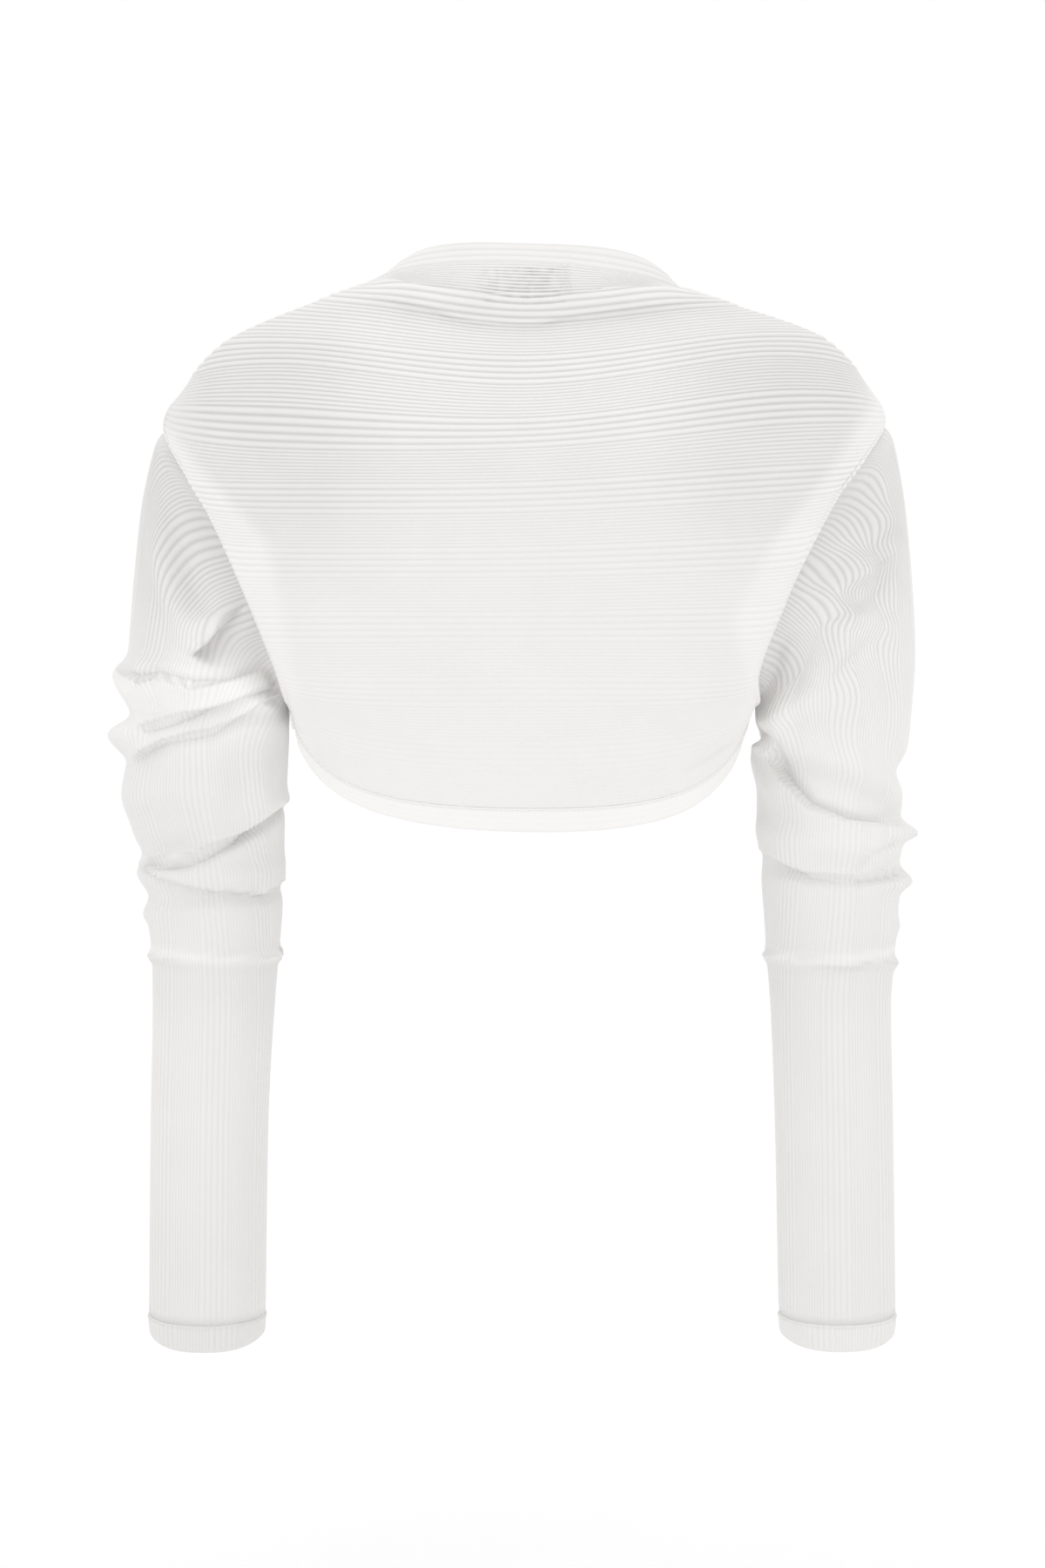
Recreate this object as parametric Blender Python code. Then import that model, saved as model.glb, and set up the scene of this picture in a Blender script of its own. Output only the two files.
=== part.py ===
"""A knitted shrug, filled out as worn and empty inside, as closed solids.

The cloth is one wall that runs from cuff to cuff: a back, two narrow fronts that
come over the shoulders, and two long sleeves pushed up on the arm.  One opening
runs round the back of the neck, down both fronts, under the arms and along the
back hem, and a turned band follows it.  The ribs run from cuff to cuff: across
the back and lengthwise down the sleeves.

Frame: metres in the scene, millimetres in the tables below.  +Z is up, -Y is the
wearer's back, +X is the wearer's right.  The origin is the fold at the foot of
the back neck, on the line of the shoulders.
"""

import math

import bmesh
import bpy
import numpy as np

MM = 0.001

# ---------------------------------------------------------------- driving sizes

CLOTH = 1.6            # wall of one layer of rib knit
HEM = 2.2              # wall of a turned band or cuff hem
HEM_STANDS = 0.3       # how far the turned cloth stands above the single cloth
SEAM = 0.3             # clear space between two pieces at a seam
RIB_REPEAT = 38.0      # one band of bold ribs and one fine stretch
RIB_PITCH = 3.7        # crest to crest inside a bold band
RIBS_IN_BAND = 5
RIB_HEIGHT = 0.9
FLAT_FROM_COLUMN = 1.45  # the back's ribs run out here, inside the side folds
RIB_FADE = 0.6         # over this much of a column
FLAT_TO_SHARE = 0.06   # and a sleeve's ribs reach their full height here
FIRST_BAND = -12.0     # centre height of the uppermost bold band on the back
PLAN_POWER = 2.6       # how square the back and fronts are in plan

# The back, a row for each height at the centre line, from neck edge to hem edge.
#   centre    height of the row at the centre line
#   depth     how far it lies behind the line of the shoulders
#   lx, lz    its left end: distance out, height;  lm  its height half way there
#   rx, rz    its right end;  rm  its height half way there
#   turn      its end as a share of the full half width, 1 on the shoulder line
#   radius    of the fold at its end
#   heading   of the cloth after that fold, 90 forwards and 180 back inwards
#   run       of cloth after that fold, and rise, its climb at the front end
BACK_COLUMNS = (
    "centre", "depth", "lx", "lz", "lm", "rx", "rz", "rm",
    "turn", "radius", "heading", "run", "rise",
)
BACK_ROWS = {
    "neck edge":      (28.9, 50, 84.3, 10.8, 26.4, 97.5, 3.2, 20.8, 1.00, 9, 104, 3, 0),
    "neck seam":      (14.9, 56, 95.4, 8.8, 14.2, 108.5, 1.0, 8.4, 1.00, 9, 106, 3, 0),
    "neck fold":      (-4.0, 62, 103.9, 7.2, 5.1, 116.0, -0.2, 2.5, 1.00, 9, 108, 3, 0),
    "slumped roll":   (-13.5, 70, 113.5, 4.2, -3.0, 121.5, -1.8, -5.0, 1.00, 9, 109, 3, 0),
    "roll foot":      (-22.0, 67, 127.5, -1.0, -10.3, 131.5, -4.5, -12.2, 1.00, 9, 110, 3, 0),
    "shoulder":       (-42.0, 76, 182.0, -26.0, -30.6, 180.0, -23.0, -27.4, 1.00, 9, 112, 3, 0),
    "shoulder end":   (-60.0, 85, 204.8, -49.5, -46.4, 205.0, -46.5, -41.8, 1.00, 9, 114, 3, 0),
    "sleeve point":   (-95.9, 94, 218.5, -80.0, -94.5, 218.0, -76.0, -80.6, 0.97, 8, 125, 4, 0),
    "fold start":     (-116.0, 97, 202.0, -111.5, -116.0, 203.5, -99.5, -106.0, 0.90, 5.5, 156, 6, 0),
    "shoulder blade": (-138.0, 99, 188.5, -134.1, -138.4, 187.0, -122.5, -130.5, 0.84, 5.5, 172, 9, 0),
    "mid back":       (-192.1, 99, 162.6, -191.2, -191.9, 154.8, -186.1, -189.9, 0.78, 5, 180, 10, 0),
    "underarm":       (-238.0, 95, 146.5, -233.0, -238.0, 138.5, -233.0, -238.0, 0.80, 7, 152, 12, 0),
    "underarm turn":  (-264.0, 92, 143.5, -244.0, -260.0, 140.0, -244.0, -259.0, 0.84, 7, 104, 62, 3),
    "hem seam":       (-308.5, 87, 140.5, -251.0, -296.5, 135.0, -251.5, -298.0, 0.88, 7, 94, 80, 6),
    "hem edge":       (-322.6, 85, 139.0, -261.5, -308.0, 132.0, -263.0, -311.5, 0.88, 7, 94, 80, 6),
}

# The neck edge of each front, from the shoulder down and under the arm, as far out,
# forward and high; and the line where the front meets the sleeve.
FRONT_COLUMNS = ("share", "out", "forward", "height")
FRONT_OPENING = (
    (0.00, 96, 6, 11),
    (0.12, 105, 36, -12),
    (0.28, 113, 60, -55),
    (0.45, 120, 73, -105),
    (0.62, 127, 78, -155),
    (0.79, 133, 74, -205),
    (0.92, 138, 58, -240),
    (1.00, 139, 38, -252),
)
FRONT_ARMHOLE = (
    (0.00, 218, 6, -80),
    (0.12, 213, 28, -96),
    (0.28, 203, 47, -120),
    (0.45, 190, 60, -150),
    (0.62, 174, 66, -180),
    (0.79, 158, 66, -210),
    (0.92, 146, 54, -232),
    (1.00, 140, 38, -243),
)
FRONT_FULLNESS = 9.0   # how far the front swells between those two lines
BAND_WIDTH = 12.0      # of the turned band round the opening

# The sleeves, a row for each section from the armhole to the cuff hem:
# its outermost and innermost points (distance out, height), its half depth,
# how far forward its middle lies, and how much lower its back is.
SLEEVE_COLUMNS = ("share", "ox", "oz", "ix", "iz", "depth", "forward", "slant")
LEFT_SLEEVE = (
    (0.00, 224, -80, 145, -246, 56, 1, 0),
    (0.015, 231, -89, 144.5, -246.5, 55.5, 1, 0),
    (0.03, 234, -102, 144, -247, 55, 1, 0),
    (0.06, 236, -124, 144, -249, 55, 1, 0),
    (0.13, 239.5, -172, 144, -256, 56, 1, 0),
    (0.20, 241.5, -214, 144, -264, 56, 2, 0),
    (0.28, 244.5, -258, 144.5, -278, 55, 2, 0),
    (0.36, 243, -298, 145.5, -298, 53.5, 3, 0),
    (0.44, 236, -334, 147, -323, 50.5, 3.5, 0),
    (0.50, 231.5, -358, 147.5, -347, 48, 4.5, 0),
    (0.56, 229, -381, 148.5, -372, 45, 5, 0),
    (0.63, 227, -406, 151, -402, 41.5, 6, 0),
    (0.68, 227, -428, 153, -427, 38.5, 7, 0),
    (0.80, 228.5, -500, 157, -500, 36.5, 10, 1),
    (1.00, 230, -617, 159, -617, 35.5, 15, 4.5),
)
RIGHT_SLEEVE = (
    (0.00, 223, -76, 140.5, -246, 56, 1, 0),
    (0.015, 231, -87, 140.5, -246.5, 55.5, 1, 0),
    (0.03, 233.5, -102, 140.5, -247, 55, 1, 0),
    (0.06, 234.5, -124, 140.5, -249, 55, 1, 0),
    (0.13, 236, -172, 140.5, -256, 56, 1, 0),
    (0.20, 238, -214, 141, -264, 56, 2, 0),
    (0.28, 234.5, -258, 141, -278, 54.5, 2.5, 0),
    (0.36, 230, -298, 142, -298, 53, 3, 0),
    (0.44, 228.5, -334, 142.5, -323, 50.5, 3.5, 0),
    (0.50, 228, -358, 144, -347, 47.5, 4.5, 0),
    (0.56, 226.5, -381, 146, -372, 45, 5.5, 0),
    (0.63, 224.5, -406, 148, -402, 41, 6, 0),
    (0.68, 223, -428, 150, -427, 38.5, 7, 0),
    (0.80, 224.5, -500, 153, -500, 36.5, 10, 1),
    (1.00, 226.5, -617, 155.5, -617, 35.5, 15, 4),
)

# Folds of the pushed-up sleeves.  Each runs from one place to another round the
# arm (0 the outside, 90 the back, 180 the inside, 270 the front) and at its height
# there; bow is how far it rises half way, lift is outwards, and half is its half
# width along the sleeve.
#   from angle, its height, to angle, its height, bow, lift, half
LEFT_FOLDS = {
    "pouch edge":      (60, -207, 140, -182, 0, 4.0, 9),
    "pouch hollow":    (70, -224, 175, -196, 0, -4.0, 11),
    "first roll":      (-70, -231, 120, -230, 0, 9.0, 10),
    "first crease":    (-60, -252, 150, -248, 0, -6.0, 8),
    "second roll":     (-70, -268, 100, -264, 0, 10.0, 9),
    "long crease":     (-50, -290, 180, -240, 0, -4.0, 8),
    "smooth bag":      (-30, -305, 150, -296, 0, 4.5, 12),
    "low crease":      (-30, -334, 190, -300, -14, -6.0, 7),
    "last roll":       (-60, -344, 200, -342, -6, 5.0, 7),
    "roll foot":       (-50, -359, 200, -357, -5, -3.0, 5),
    "side ripple":     (-70, -372, 50, -374, 0, 3.0, 5),
    "ring":            (-180, -397, 180, -400, 0, 2.8, 4.5),
    "front roll":      (180, -240, 340, -262, 0, 6.0, 10),
    "front crease":    (185, -268, 345, -285, -4, -5.0, 7),
    "front bag":       (180, -305, 330, -318, -3, 4.0, 12),
    "front low fold":  (190, -335, 340, -338, -5, -4.5, 7),
    "front last roll": (190, -355, 330, -358, 0, 3.5, 7),
}
RIGHT_FOLDS = {
    "drag hollow":     (40, -158, 105, -196, 0, -3.5, 11),
    "drag ridge":      (30, -190, 120, -236, 0, 3.5, 12),
    "outer dent":      (-50, -288, 50, -284, 0, -5.5, 9),
    "flap":            (10, -300, 170, -262, 0, 4.0, 10),
    "flap tip":        (-55, -324, 50, -322, 0, 13.0, 5.5),
    "deep crease":     (-40, -332, 200, -266, 0, -5.0, 9),
    "last roll":       (0, -334, 200, -318, -4, 5.5, 9),
    "roll foot":       (-30, -341, 200, -342, -5, -4.0, 6),
    "side bulge":      (-60, -349, 70, -355, 0, 8.0, 6),
    "side ripple":     (-70, -378, 50, -382, 0, 2.0, 5),
    "ring":            (-180, -398, 180, -398, -5, 2.8, 4.5),
    "front roll":      (185, -246, 340, -268, 0, 6.0, 10),
    "front crease":    (170, -272, 345, -292, -4, -4.5, 8),
    "front bag":       (180, -305, 320, -316, -3, 4.0, 12),
    "front low fold":  (190, -332, 330, -338, -5, -4.5, 7),
    "front last roll": (190, -352, 300, -357, 0, 3.5, 7),
}

CUFF_DEPTH = 16.0      # height of the turned cuff hem
CUFF_CURL = 4.0        # how much its edge lifts at both sides of the wrist
CUFF_TUCK = 1.0        # and how much narrower it is there
CUFF_STEPS = 24
SHARP_ANGLE = 28.0     # edges that turn more than this are shaded sharp

# The label on the inner face of the back neck.
LABEL_LEFT, LABEL_RIGHT = -28.0, 24.0
LABEL_TOP, LABEL_FOOT = 13.0, -3.0
LABEL_THICK = 1.0

# ---------------------------------------------------------------- mesh densities

BACK_STEPS = 12        # columns across the back between the two side folds
INSIDE_STEP = 9.0      # least distance between rows of the back's inner face
INSIDE_FINE_STEP = 3.4 # the same where the cloth turns sharply, at these heights
FINE_HEIGHTS = ((20, -30), (-86, -122), (-230, -270))
SHARP_STEPS = 6        # rows of a fine stretch there
FOLD_STEPS = 3         # columns round each side fold
SLEEVE_REPEATS = 4     # bold bands round a sleeve
LEFT_RINGS = (
    0.0015, 0.015, 0.04, 0.08, 0.125, 0.17, 0.207, 0.231, 0.252, 0.269, 0.284, 0.30, 0.322,
    0.35, 0.38, 0.41, 0.44, 0.465, 0.503, 0.535, 0.565, 0.585, 0.605, 0.625, 0.69, 1.0,
)
RIGHT_RINGS = (
    0.0015, 0.015, 0.04, 0.08, 0.125, 0.17, 0.215, 0.255, 0.29, 0.315, 0.338, 0.362, 0.385,
    0.40, 0.4135, 0.429, 0.4575, 0.4775, 0.4975, 0.53, 0.565, 0.585, 0.605, 0.625, 0.69, 1.0,
)
INSIDE_STATIONS = (0, 4, 6, 10)  # stations of a bold band that the inner face has too
FRONT_LINES = (0.002, 0.06, 0.14, 0.26, 0.40, 0.54, 0.68, 0.80, 0.90, 0.96, 0.998)
FRONT_BANDS = 3        # bold bands across a front
INSIDE_FRONT_STEPS = 10
FULL_RIB_WIDTH = 80.0  # a front narrower than this has lower ribs

COLOURS = {
    "knit": (0.86, 0.855, 0.84),
    "hem": (0.88, 0.875, 0.86),
    "label": (0.16, 0.16, 0.17),
}


# ---------------------------------------------------------------- smooth tables


class Track:
    """A table read as one smooth curve through its rows, with no overshoot."""

    def __init__(self, columns, rows):
        table = np.array(rows, float)
        order = np.argsort(table[:, 0])
        self.names = columns
        self.keys = table[order, 0]
        self.values = table[order]
        self.slopes = self._slopes()

    def _slopes(self):
        """Slopes at the rows, flat where the curve turns."""
        step = np.diff(self.keys)[:, None]
        rate = np.diff(self.values, axis=0) / step
        slope = np.empty_like(self.values)
        slope[0], slope[-1] = rate[0], rate[-1]
        before, after = rate[:-1], rate[1:]
        same = before * after > 0
        safe_before = np.where(same, before, 1.0)
        safe_after = np.where(same, after, 1.0)
        slope[1:-1] = np.where(same, 2.0 / (1.0 / safe_before + 1.0 / safe_after), 0.0)
        return slope

    def at(self, key):
        """The row at a key, as a dictionary by column name."""
        key = min(max(key, self.keys[0]), self.keys[-1])
        i = min(int(np.searchsorted(self.keys, key, "right")) - 1, len(self.keys) - 2)
        width = self.keys[i + 1] - self.keys[i]
        t = (key - self.keys[i]) / width
        row = (
            (2 * t**3 - 3 * t**2 + 1) * self.values[i]
            + (t**3 - 2 * t**2 + t) * width * self.slopes[i]
            + (3 * t**2 - 2 * t**3) * self.values[i + 1]
            + (t**3 - t**2) * width * self.slopes[i + 1]
        )
        return dict(zip(self.names, row))


BACK = Track(BACK_COLUMNS, list(BACK_ROWS.values()))
OPENING = Track(FRONT_COLUMNS, FRONT_OPENING)
ARMHOLE = Track(FRONT_COLUMNS, FRONT_ARMHOLE)
SLEEVES = {-1: Track(SLEEVE_COLUMNS, LEFT_SLEEVE), 1: Track(SLEEVE_COLUMNS, RIGHT_SLEEVE)}
FOLDS = {-1: LEFT_FOLDS, 1: RIGHT_FOLDS}
SIDE_NAME = {-1: "left", 1: "right"}

NECK_EDGE = BACK_ROWS["neck edge"][0]
NECK_SEAM = BACK_ROWS["neck seam"][0]
SLEEVE_POINT = BACK_ROWS["sleeve point"][0]
HEM_SEAM = BACK_ROWS["hem seam"][0]
HEM_EDGE = BACK_ROWS["hem edge"][0]
STRIP_END = HEM_SEAM + 0.6 * (BACK_ROWS["underarm turn"][0] - HEM_SEAM)  # it meets the sleeve here


def through_five(values, u):
    """A smooth height through five even places from -1 to 1."""
    places = (u + 1.0) * 2.0
    i = min(int(places), 3)
    t = places - i
    ends = [2 * values[0] - values[1], *values, 2 * values[4] - values[3]]
    a, b, c, d = ends[i], ends[i + 1], ends[i + 2], ends[i + 3]
    return 0.5 * (
        2 * b + (c - a) * t + (2 * a - 5 * b + 4 * c - d) * t**2 + (3 * b - a - 3 * c + d) * t**3
    )


# ---------------------------------------------------------------- the back


def side_fold(row, side):
    """Where the fold at one end of a row starts, the slope there and the arc of the fold."""
    end_x = row["lx"] if side < 0 else row["rx"]
    reach = end_x / row["turn"]
    near, far = end_x - row["radius"], end_x
    for _ in range(16):
        start = (near + far) / 2
        slope = slope_at(row["depth"] / reach, min(start / reach, 0.9995))
        if start - row["radius"] * math.sin(slope) < end_x - row["radius"]:
            near = start
        else:
            far = start
    arc = row["radius"] * (math.radians(row["heading"]) - slope)
    return reach, start, slope, arc


def end_column(height, side, clear):
    """The column that stops short of the end of the cloth by a clear space."""
    row = BACK.at(height)
    arc = side_fold(row, side)[3]
    return side * (2.0 - clear / (arc + row["run"]))


def back_point(column, height):
    """A point of the back: column -1 to 1 lies between the side folds, 1 to 2 round them."""
    row = BACK.at(height)
    side = -1 if column < 0 else 1
    reach, fold_start, start_slope, arc = side_fold(row, side)
    u = max(-1.0, min(1.0, column))
    out = fold_start * math.sin(abs(u) * math.pi / 2)
    back = row["depth"] * (1.0 - min(1.0, out / reach) ** PLAN_POWER) ** (1.0 / PLAN_POWER)
    heights = (row["lz"], row["lm"], row["centre"], row["rm"], row["rz"])
    z = through_five(heights, u)
    past = abs(column) - 1.0
    if past <= 0.0:
        return np.array((side * out, -back, z))
    travel = past * (arc + row["run"])
    turned = start_slope + min(travel, arc) / row["radius"]
    centre = np.array((
        out - row["radius"] * math.sin(start_slope),
        -back + row["radius"] * math.cos(start_slope),
    ))
    spot = centre + row["radius"] * np.array((math.sin(turned), -math.cos(turned)))
    straight = max(0.0, travel - arc)
    spot += straight * np.array((math.cos(turned), math.sin(turned)))
    climb = row["rise"] * (straight / row["run"]) ** 2
    return np.array((side * spot[0], spot[1], z + climb))


def slope_at(ratio, share):
    """The angle of the plan curve from straight across, at a share of its half width."""
    rest = 1.0 - share**PLAN_POWER
    return math.atan(ratio * share ** (PLAN_POWER - 1) * rest ** (1.0 / PLAN_POWER - 1.0))


def back_columns():
    """Columns from the left end of the cloth to its right end."""
    across = [-1 + 2 * i / BACK_STEPS for i in range(BACK_STEPS + 1)]
    turning = [1 + 0.72 * (i + 1) / FOLD_STEPS for i in range(FOLD_STEPS)] + [2.0]
    return [-c for c in reversed(turning)] + across + turning


def turns_sharply(height):
    """True where the back curves so much down its height that it needs close rows."""
    return any(high > height > low for high, low in FINE_HEIGHTS)


def rib_rows(top, foot):
    """Heights down the back with a flag for each crest of the bold ribs."""
    rows = [(top, 0)]
    band = FIRST_BAND
    half_band = RIBS_IN_BAND * RIB_PITCH / 2
    while band + half_band > foot:
        for step in range(2 * RIBS_IN_BAND + 1):
            rows.append((band + half_band - step * RIB_PITCH / 2, step % 2))
        rest = RIB_REPEAT - 2 * half_band
        count = SHARP_STEPS if turns_sharply(band - half_band - rest / 2) else 2
        rows += [(band - half_band - rest * step / count, 0) for step in range(1, count)]
        band -= RIB_REPEAT
    kept = [row for row in rows if foot + 1.0 < row[0] < top - 1.0]
    return [(top, 0)] + kept + [(foot, 0)]


# ---------------------------------------------------------------- the fronts


def even_heights(side, top, foot, count=33):
    """Heights down the end of the back's cloth that lie evenly along that edge."""
    heights = np.linspace(top, foot, count)
    edge = np.array([back_point(2.0 * side, height) for height in heights])
    steps = np.linalg.norm(np.diff(edge, axis=0), axis=1)
    shares = np.concatenate(((0.0,), np.cumsum(steps))) / steps.sum()
    return shares, heights


SHOULDER_HEIGHTS = {side: even_heights(side, NECK_SEAM, SLEEVE_POINT) for side in (-1, 1)}


def shoulder_line(side, share):
    """The seam over the shoulder, from the neck band to the top of the sleeve."""
    return back_point(2.0 * side, float(np.interp(share, *SHOULDER_HEIGHTS[side])))


def underarm_line(side, share):
    """The front end of the strip under the arm, from the hem band up to the sleeve."""
    return back_point(2.0 * side, HEM_SEAM + share * (STRIP_END - HEM_SEAM))


def table_point(track, side, share):
    row = track.at(share)
    return np.array((side * row["out"], row["forward"], row["height"]))


def front_point(side, across, down):
    """A point of a front: across from the opening (0) to the sleeve (1), down to the underarm."""
    across_in, down_in = min(1.0, max(0.0, across)), min(1.0, max(0.0, down))
    opening, armhole = table_point(OPENING, side, down), table_point(ARMHOLE, side, down)
    plain = opening + (armhole - opening) * across
    top = table_point(OPENING, side, 0.0) * (1 - across) + table_point(ARMHOLE, side, 0.0) * across
    foot = table_point(OPENING, side, 1.0) * (1 - across) + table_point(ARMHOLE, side, 1.0) * across
    top_fix = shoulder_line(side, across_in) - top
    foot_fix = underarm_line(side, across_in) - foot
    swell = FRONT_FULLNESS * math.sin(math.pi * across_in) * math.sin(math.pi * down_in**0.8) ** 2
    fixed = plain + top_fix * (1.0 - down_in) ** 2 + foot_fix * down_in**5
    return fixed + np.array((0.0, swell, 0.0))


# ---------------------------------------------------------------- the sleeves

BACK_SHARE = 145.0     # the armhole's back half ends at this angle round the arm
FRONT_SHARE = 215.0    # and its front half starts at this one
TOP_BLEND = 0.16       # the armhole's own shape is gone at this share of the sleeve
SEAM_BLEND = 0.05      # and its curve forwards and back already at this one
INSIDE_SPAN = 60.0     # degrees to each side of the underarm where the cloth turns sooner
FOLDS_START = 0.1      # the folds reach their full height at this share


def armhole_point(side, angle):
    """The seam between body and sleeve: back, underarm strip, then up the front."""
    angle = angle % 360.0
    underarm = BACK_ROWS["underarm"][0]
    if angle <= BACK_SHARE:
        share = angle / BACK_SHARE
        return back_point(2.0 * side, SLEEVE_POINT + share * (underarm - SLEEVE_POINT))
    if angle < FRONT_SHARE:
        share = (angle - BACK_SHARE) / (FRONT_SHARE - BACK_SHARE)
        return back_point(2.0 * side, underarm + share * (STRIP_END - underarm))
    share = (angle - FRONT_SHARE) / (360.0 - FRONT_SHARE)
    return front_point(side, 1.0, 1.0 - share)


def sleeve_section(side, angle, share):
    """A point of the plain sleeve tube."""
    row = SLEEVES[side].at(share)
    turn = math.radians(angle)
    middle_x, half_x = (row["ox"] + row["ix"]) / 2, (row["ox"] - row["ix"]) / 2
    middle_z, half_z = (row["oz"] + row["iz"]) / 2, (row["oz"] - row["iz"]) / 2
    return np.array((
        side * (middle_x + half_x * math.cos(turn)),
        row["forward"] - row["depth"] * math.sin(turn),
        middle_z + half_z * math.cos(turn) - row["slant"] * math.sin(turn),
    ))


def fold_lift(side, angle, height):
    """How far the folds raise or sink the cloth here."""
    total = 0.0
    for fold in FOLDS[side].values():
        start, start_height, end, end_height, bow, lift, half = fold
        middle, half_span = (start + end) / 2, (end - start) / 2
        offset = (angle - middle + 180.0) % 360.0 - 180.0
        along = offset / half_span
        if abs(along) >= 1.0 and half_span < 180.0:
            continue
        line = (start_height + end_height) / 2 + along * (end_height - start_height) / 2
        line += bow * (1.0 - along**2)
        fade = 1.0 if half_span >= 180.0 else math.cos(along * math.pi / 2)
        total += lift * fade * math.exp(-(((height - line) / half) ** 2))
    return total


def sleeve_point(side, angle, share):
    """A point of the sleeve's cloth, joined to the armhole at its top."""
    spot = sleeve_section(side, angle, share)
    if share < TOP_BLEND:
        gap = armhole_point(side, angle) - sleeve_section(side, angle, 0.0)
        fade = (1.0 - share / TOP_BLEND) ** 3
        sharp = (1.0 - min(1.0, share / SEAM_BLEND)) ** 2
        inside = max(0.0, 1.0 - abs(angle % 360.0 - 180.0) / INSIDE_SPAN) ** 0.5
        spot = spot + gap * np.array((fade + (sharp - fade) * inside, sharp, fade))
    middle = sleeve_middle(side, share)
    outward = spot - middle
    outward /= np.linalg.norm(outward)
    settle = min(1.0, share / FOLDS_START)
    return spot + outward * settle * fold_lift(side, angle, spot[2])


def sleeve_middle(side, share):
    row = SLEEVES[side].at(share)
    return np.array((
        side * (row["ox"] + row["ix"]) / 2,
        row["forward"],
        (row["oz"] + row["iz"]) / 2,
    ))


def sleeve_angles():
    """Angles round a sleeve, with a flag for each crest, for its outer and inner face."""
    repeat = 360.0 / SLEEVE_REPEATS
    pitch = repeat * RIB_PITCH / RIB_REPEAT
    outside, inside = [], []
    for band in range(SLEEVE_REPEATS):
        first = band * repeat + repeat / 2 - RIBS_IN_BAND * pitch / 2
        stations = [(first + step * pitch / 2, step % 2) for step in range(2 * RIBS_IN_BAND + 1)]
        last, rest = first + RIBS_IN_BAND * pitch, repeat - RIBS_IN_BAND * pitch
        plain = [(last + rest * step / 3, 0) for step in (1, 2)]
        outside += stations + plain
        inside += [(stations[i][0], 0) for i in INSIDE_STATIONS] + plain
    return outside, inside


# ---------------------------------------------------------------- walls


def normal_at(surface, a, b, steps, outward_hint):
    """The unit normal of a surface of two coordinates, on the side of the hint."""
    step_a, step_b = steps
    along_a = surface(a + step_a, b) - surface(a - step_a, b)
    along_b = surface(a, b + step_b) - surface(a, b - step_b)
    normal = np.cross(along_a, along_b)
    normal /= np.linalg.norm(normal)
    return normal if float(np.dot(normal, outward_hint)) >= 0 else -normal


def shares_along(points, line, closed):
    """How far along a line of vertices each one lies, from 0 to 1."""
    loop = line + line[:1] if closed else line
    steps = [np.linalg.norm(points[b] - points[a]) for a, b in zip(loop, loop[1:])]
    return np.concatenate(((0.0,), np.cumsum(steps))) / sum(steps)


def strip_faces(points, first, second, closed):
    """Triangles between two lines of vertices that may differ in number."""
    faces = []
    i = j = 0
    shares_i = shares_along(points, first, closed)
    shares_j = shares_along(points, second, closed)
    last_i, last_j = len(shares_i) - 1, len(shares_j) - 1
    while i < last_i or j < last_j:
        skew_i = abs(shares_i[i + 1] - shares_j[j]) if i < last_i else 2.0
        skew_j = abs(shares_j[j + 1] - shares_i[i]) if j < last_j else 2.0
        if skew_i <= skew_j:
            faces.append((first[i], first[(i + 1) % len(first)], second[j % len(second)]))
            i += 1
        else:
            faces.append((first[i % len(first)], second[(j + 1) % len(second)], second[j]))
            j += 1
    return faces


def grid_faces(points, rows, outward, closed):
    """Triangles over a grid of vertex numbers, split so that they bulge to the side outward."""
    faces = []
    for upper, lower in zip(rows, rows[1:]):
        count = len(upper)
        for i in range(count if closed else count - 1):
            k = (i + 1) % count
            falling = points[lower[k]] - points[upper[i]]
            rising = points[upper[k]] - points[lower[i]]
            middles = points[upper[i]] + points[lower[k]] - points[upper[k]] - points[lower[i]]
            if float(np.dot(middles, np.cross(rising, falling))) * outward > 0:
                faces.append((upper[i], lower[i], lower[k]))
                faces.append((upper[i], lower[k], upper[k]))
            else:
                faces.append((upper[i], lower[i], upper[k]))
                faces.append((lower[i], lower[k], upper[k]))
    return faces


def wall(name, outer, inner, material, closed=False):
    """One closed body between two grids of points, which may differ in density."""
    points, grids = [], []
    for grid in (outer, inner):
        numbers = []
        for row in grid:
            numbers.append(list(range(len(points), len(points) + len(row))))
            points.extend(row)
        grids.append(numbers)
    out, back = grids
    points = np.array(points)
    across, down = points[out[0][1]] - points[out[0][0]], points[out[1][0]] - points[out[0][0]]
    thickness = points[out[0][0]] - points[back[0][0]]
    outward = math.copysign(1, float(np.dot(np.cross(across - down, across + down), thickness)))
    faces = grid_faces(points, out, outward, closed) + grid_faces(points, back, -outward, closed)
    edges = [(out[0], back[0]), (out[-1], back[-1])]
    if not closed:
        edges += [([row[i] for row in out], [row[i] for row in back]) for i in (0, -1)]
    for first, second in edges:
        faces += strip_faces(points, first, second, closed)
    mesh = bpy.data.meshes.new(name)
    mesh.from_pydata([tuple(point * MM) for point in points], [], faces)
    cloth = bmesh.new()
    cloth.from_mesh(mesh)
    bmesh.ops.recalc_face_normals(cloth, faces=cloth.faces[:])
    cloth.to_mesh(mesh)
    cloth.free()
    mesh.shade_smooth()
    mesh.set_sharp_from_angle(angle=math.radians(SHARP_ANGLE))
    mesh.materials.append(material)
    piece = bpy.data.objects.new(name, mesh)
    bpy.context.scene.collection.objects.link(piece)
    return piece


def cloth_material(name, colour):
    """A matt cloth of one colour."""
    material = bpy.data.materials.new(name)
    material.use_nodes = True
    shader = material.node_tree.nodes["Principled BSDF"]
    shader.inputs["Base Color"].default_value = (*colour, 1.0)
    shader.inputs["Roughness"].default_value = 0.9
    shader.inputs["Metallic"].default_value = 0.0
    return material


# ---------------------------------------------------------------- the pieces


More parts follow.
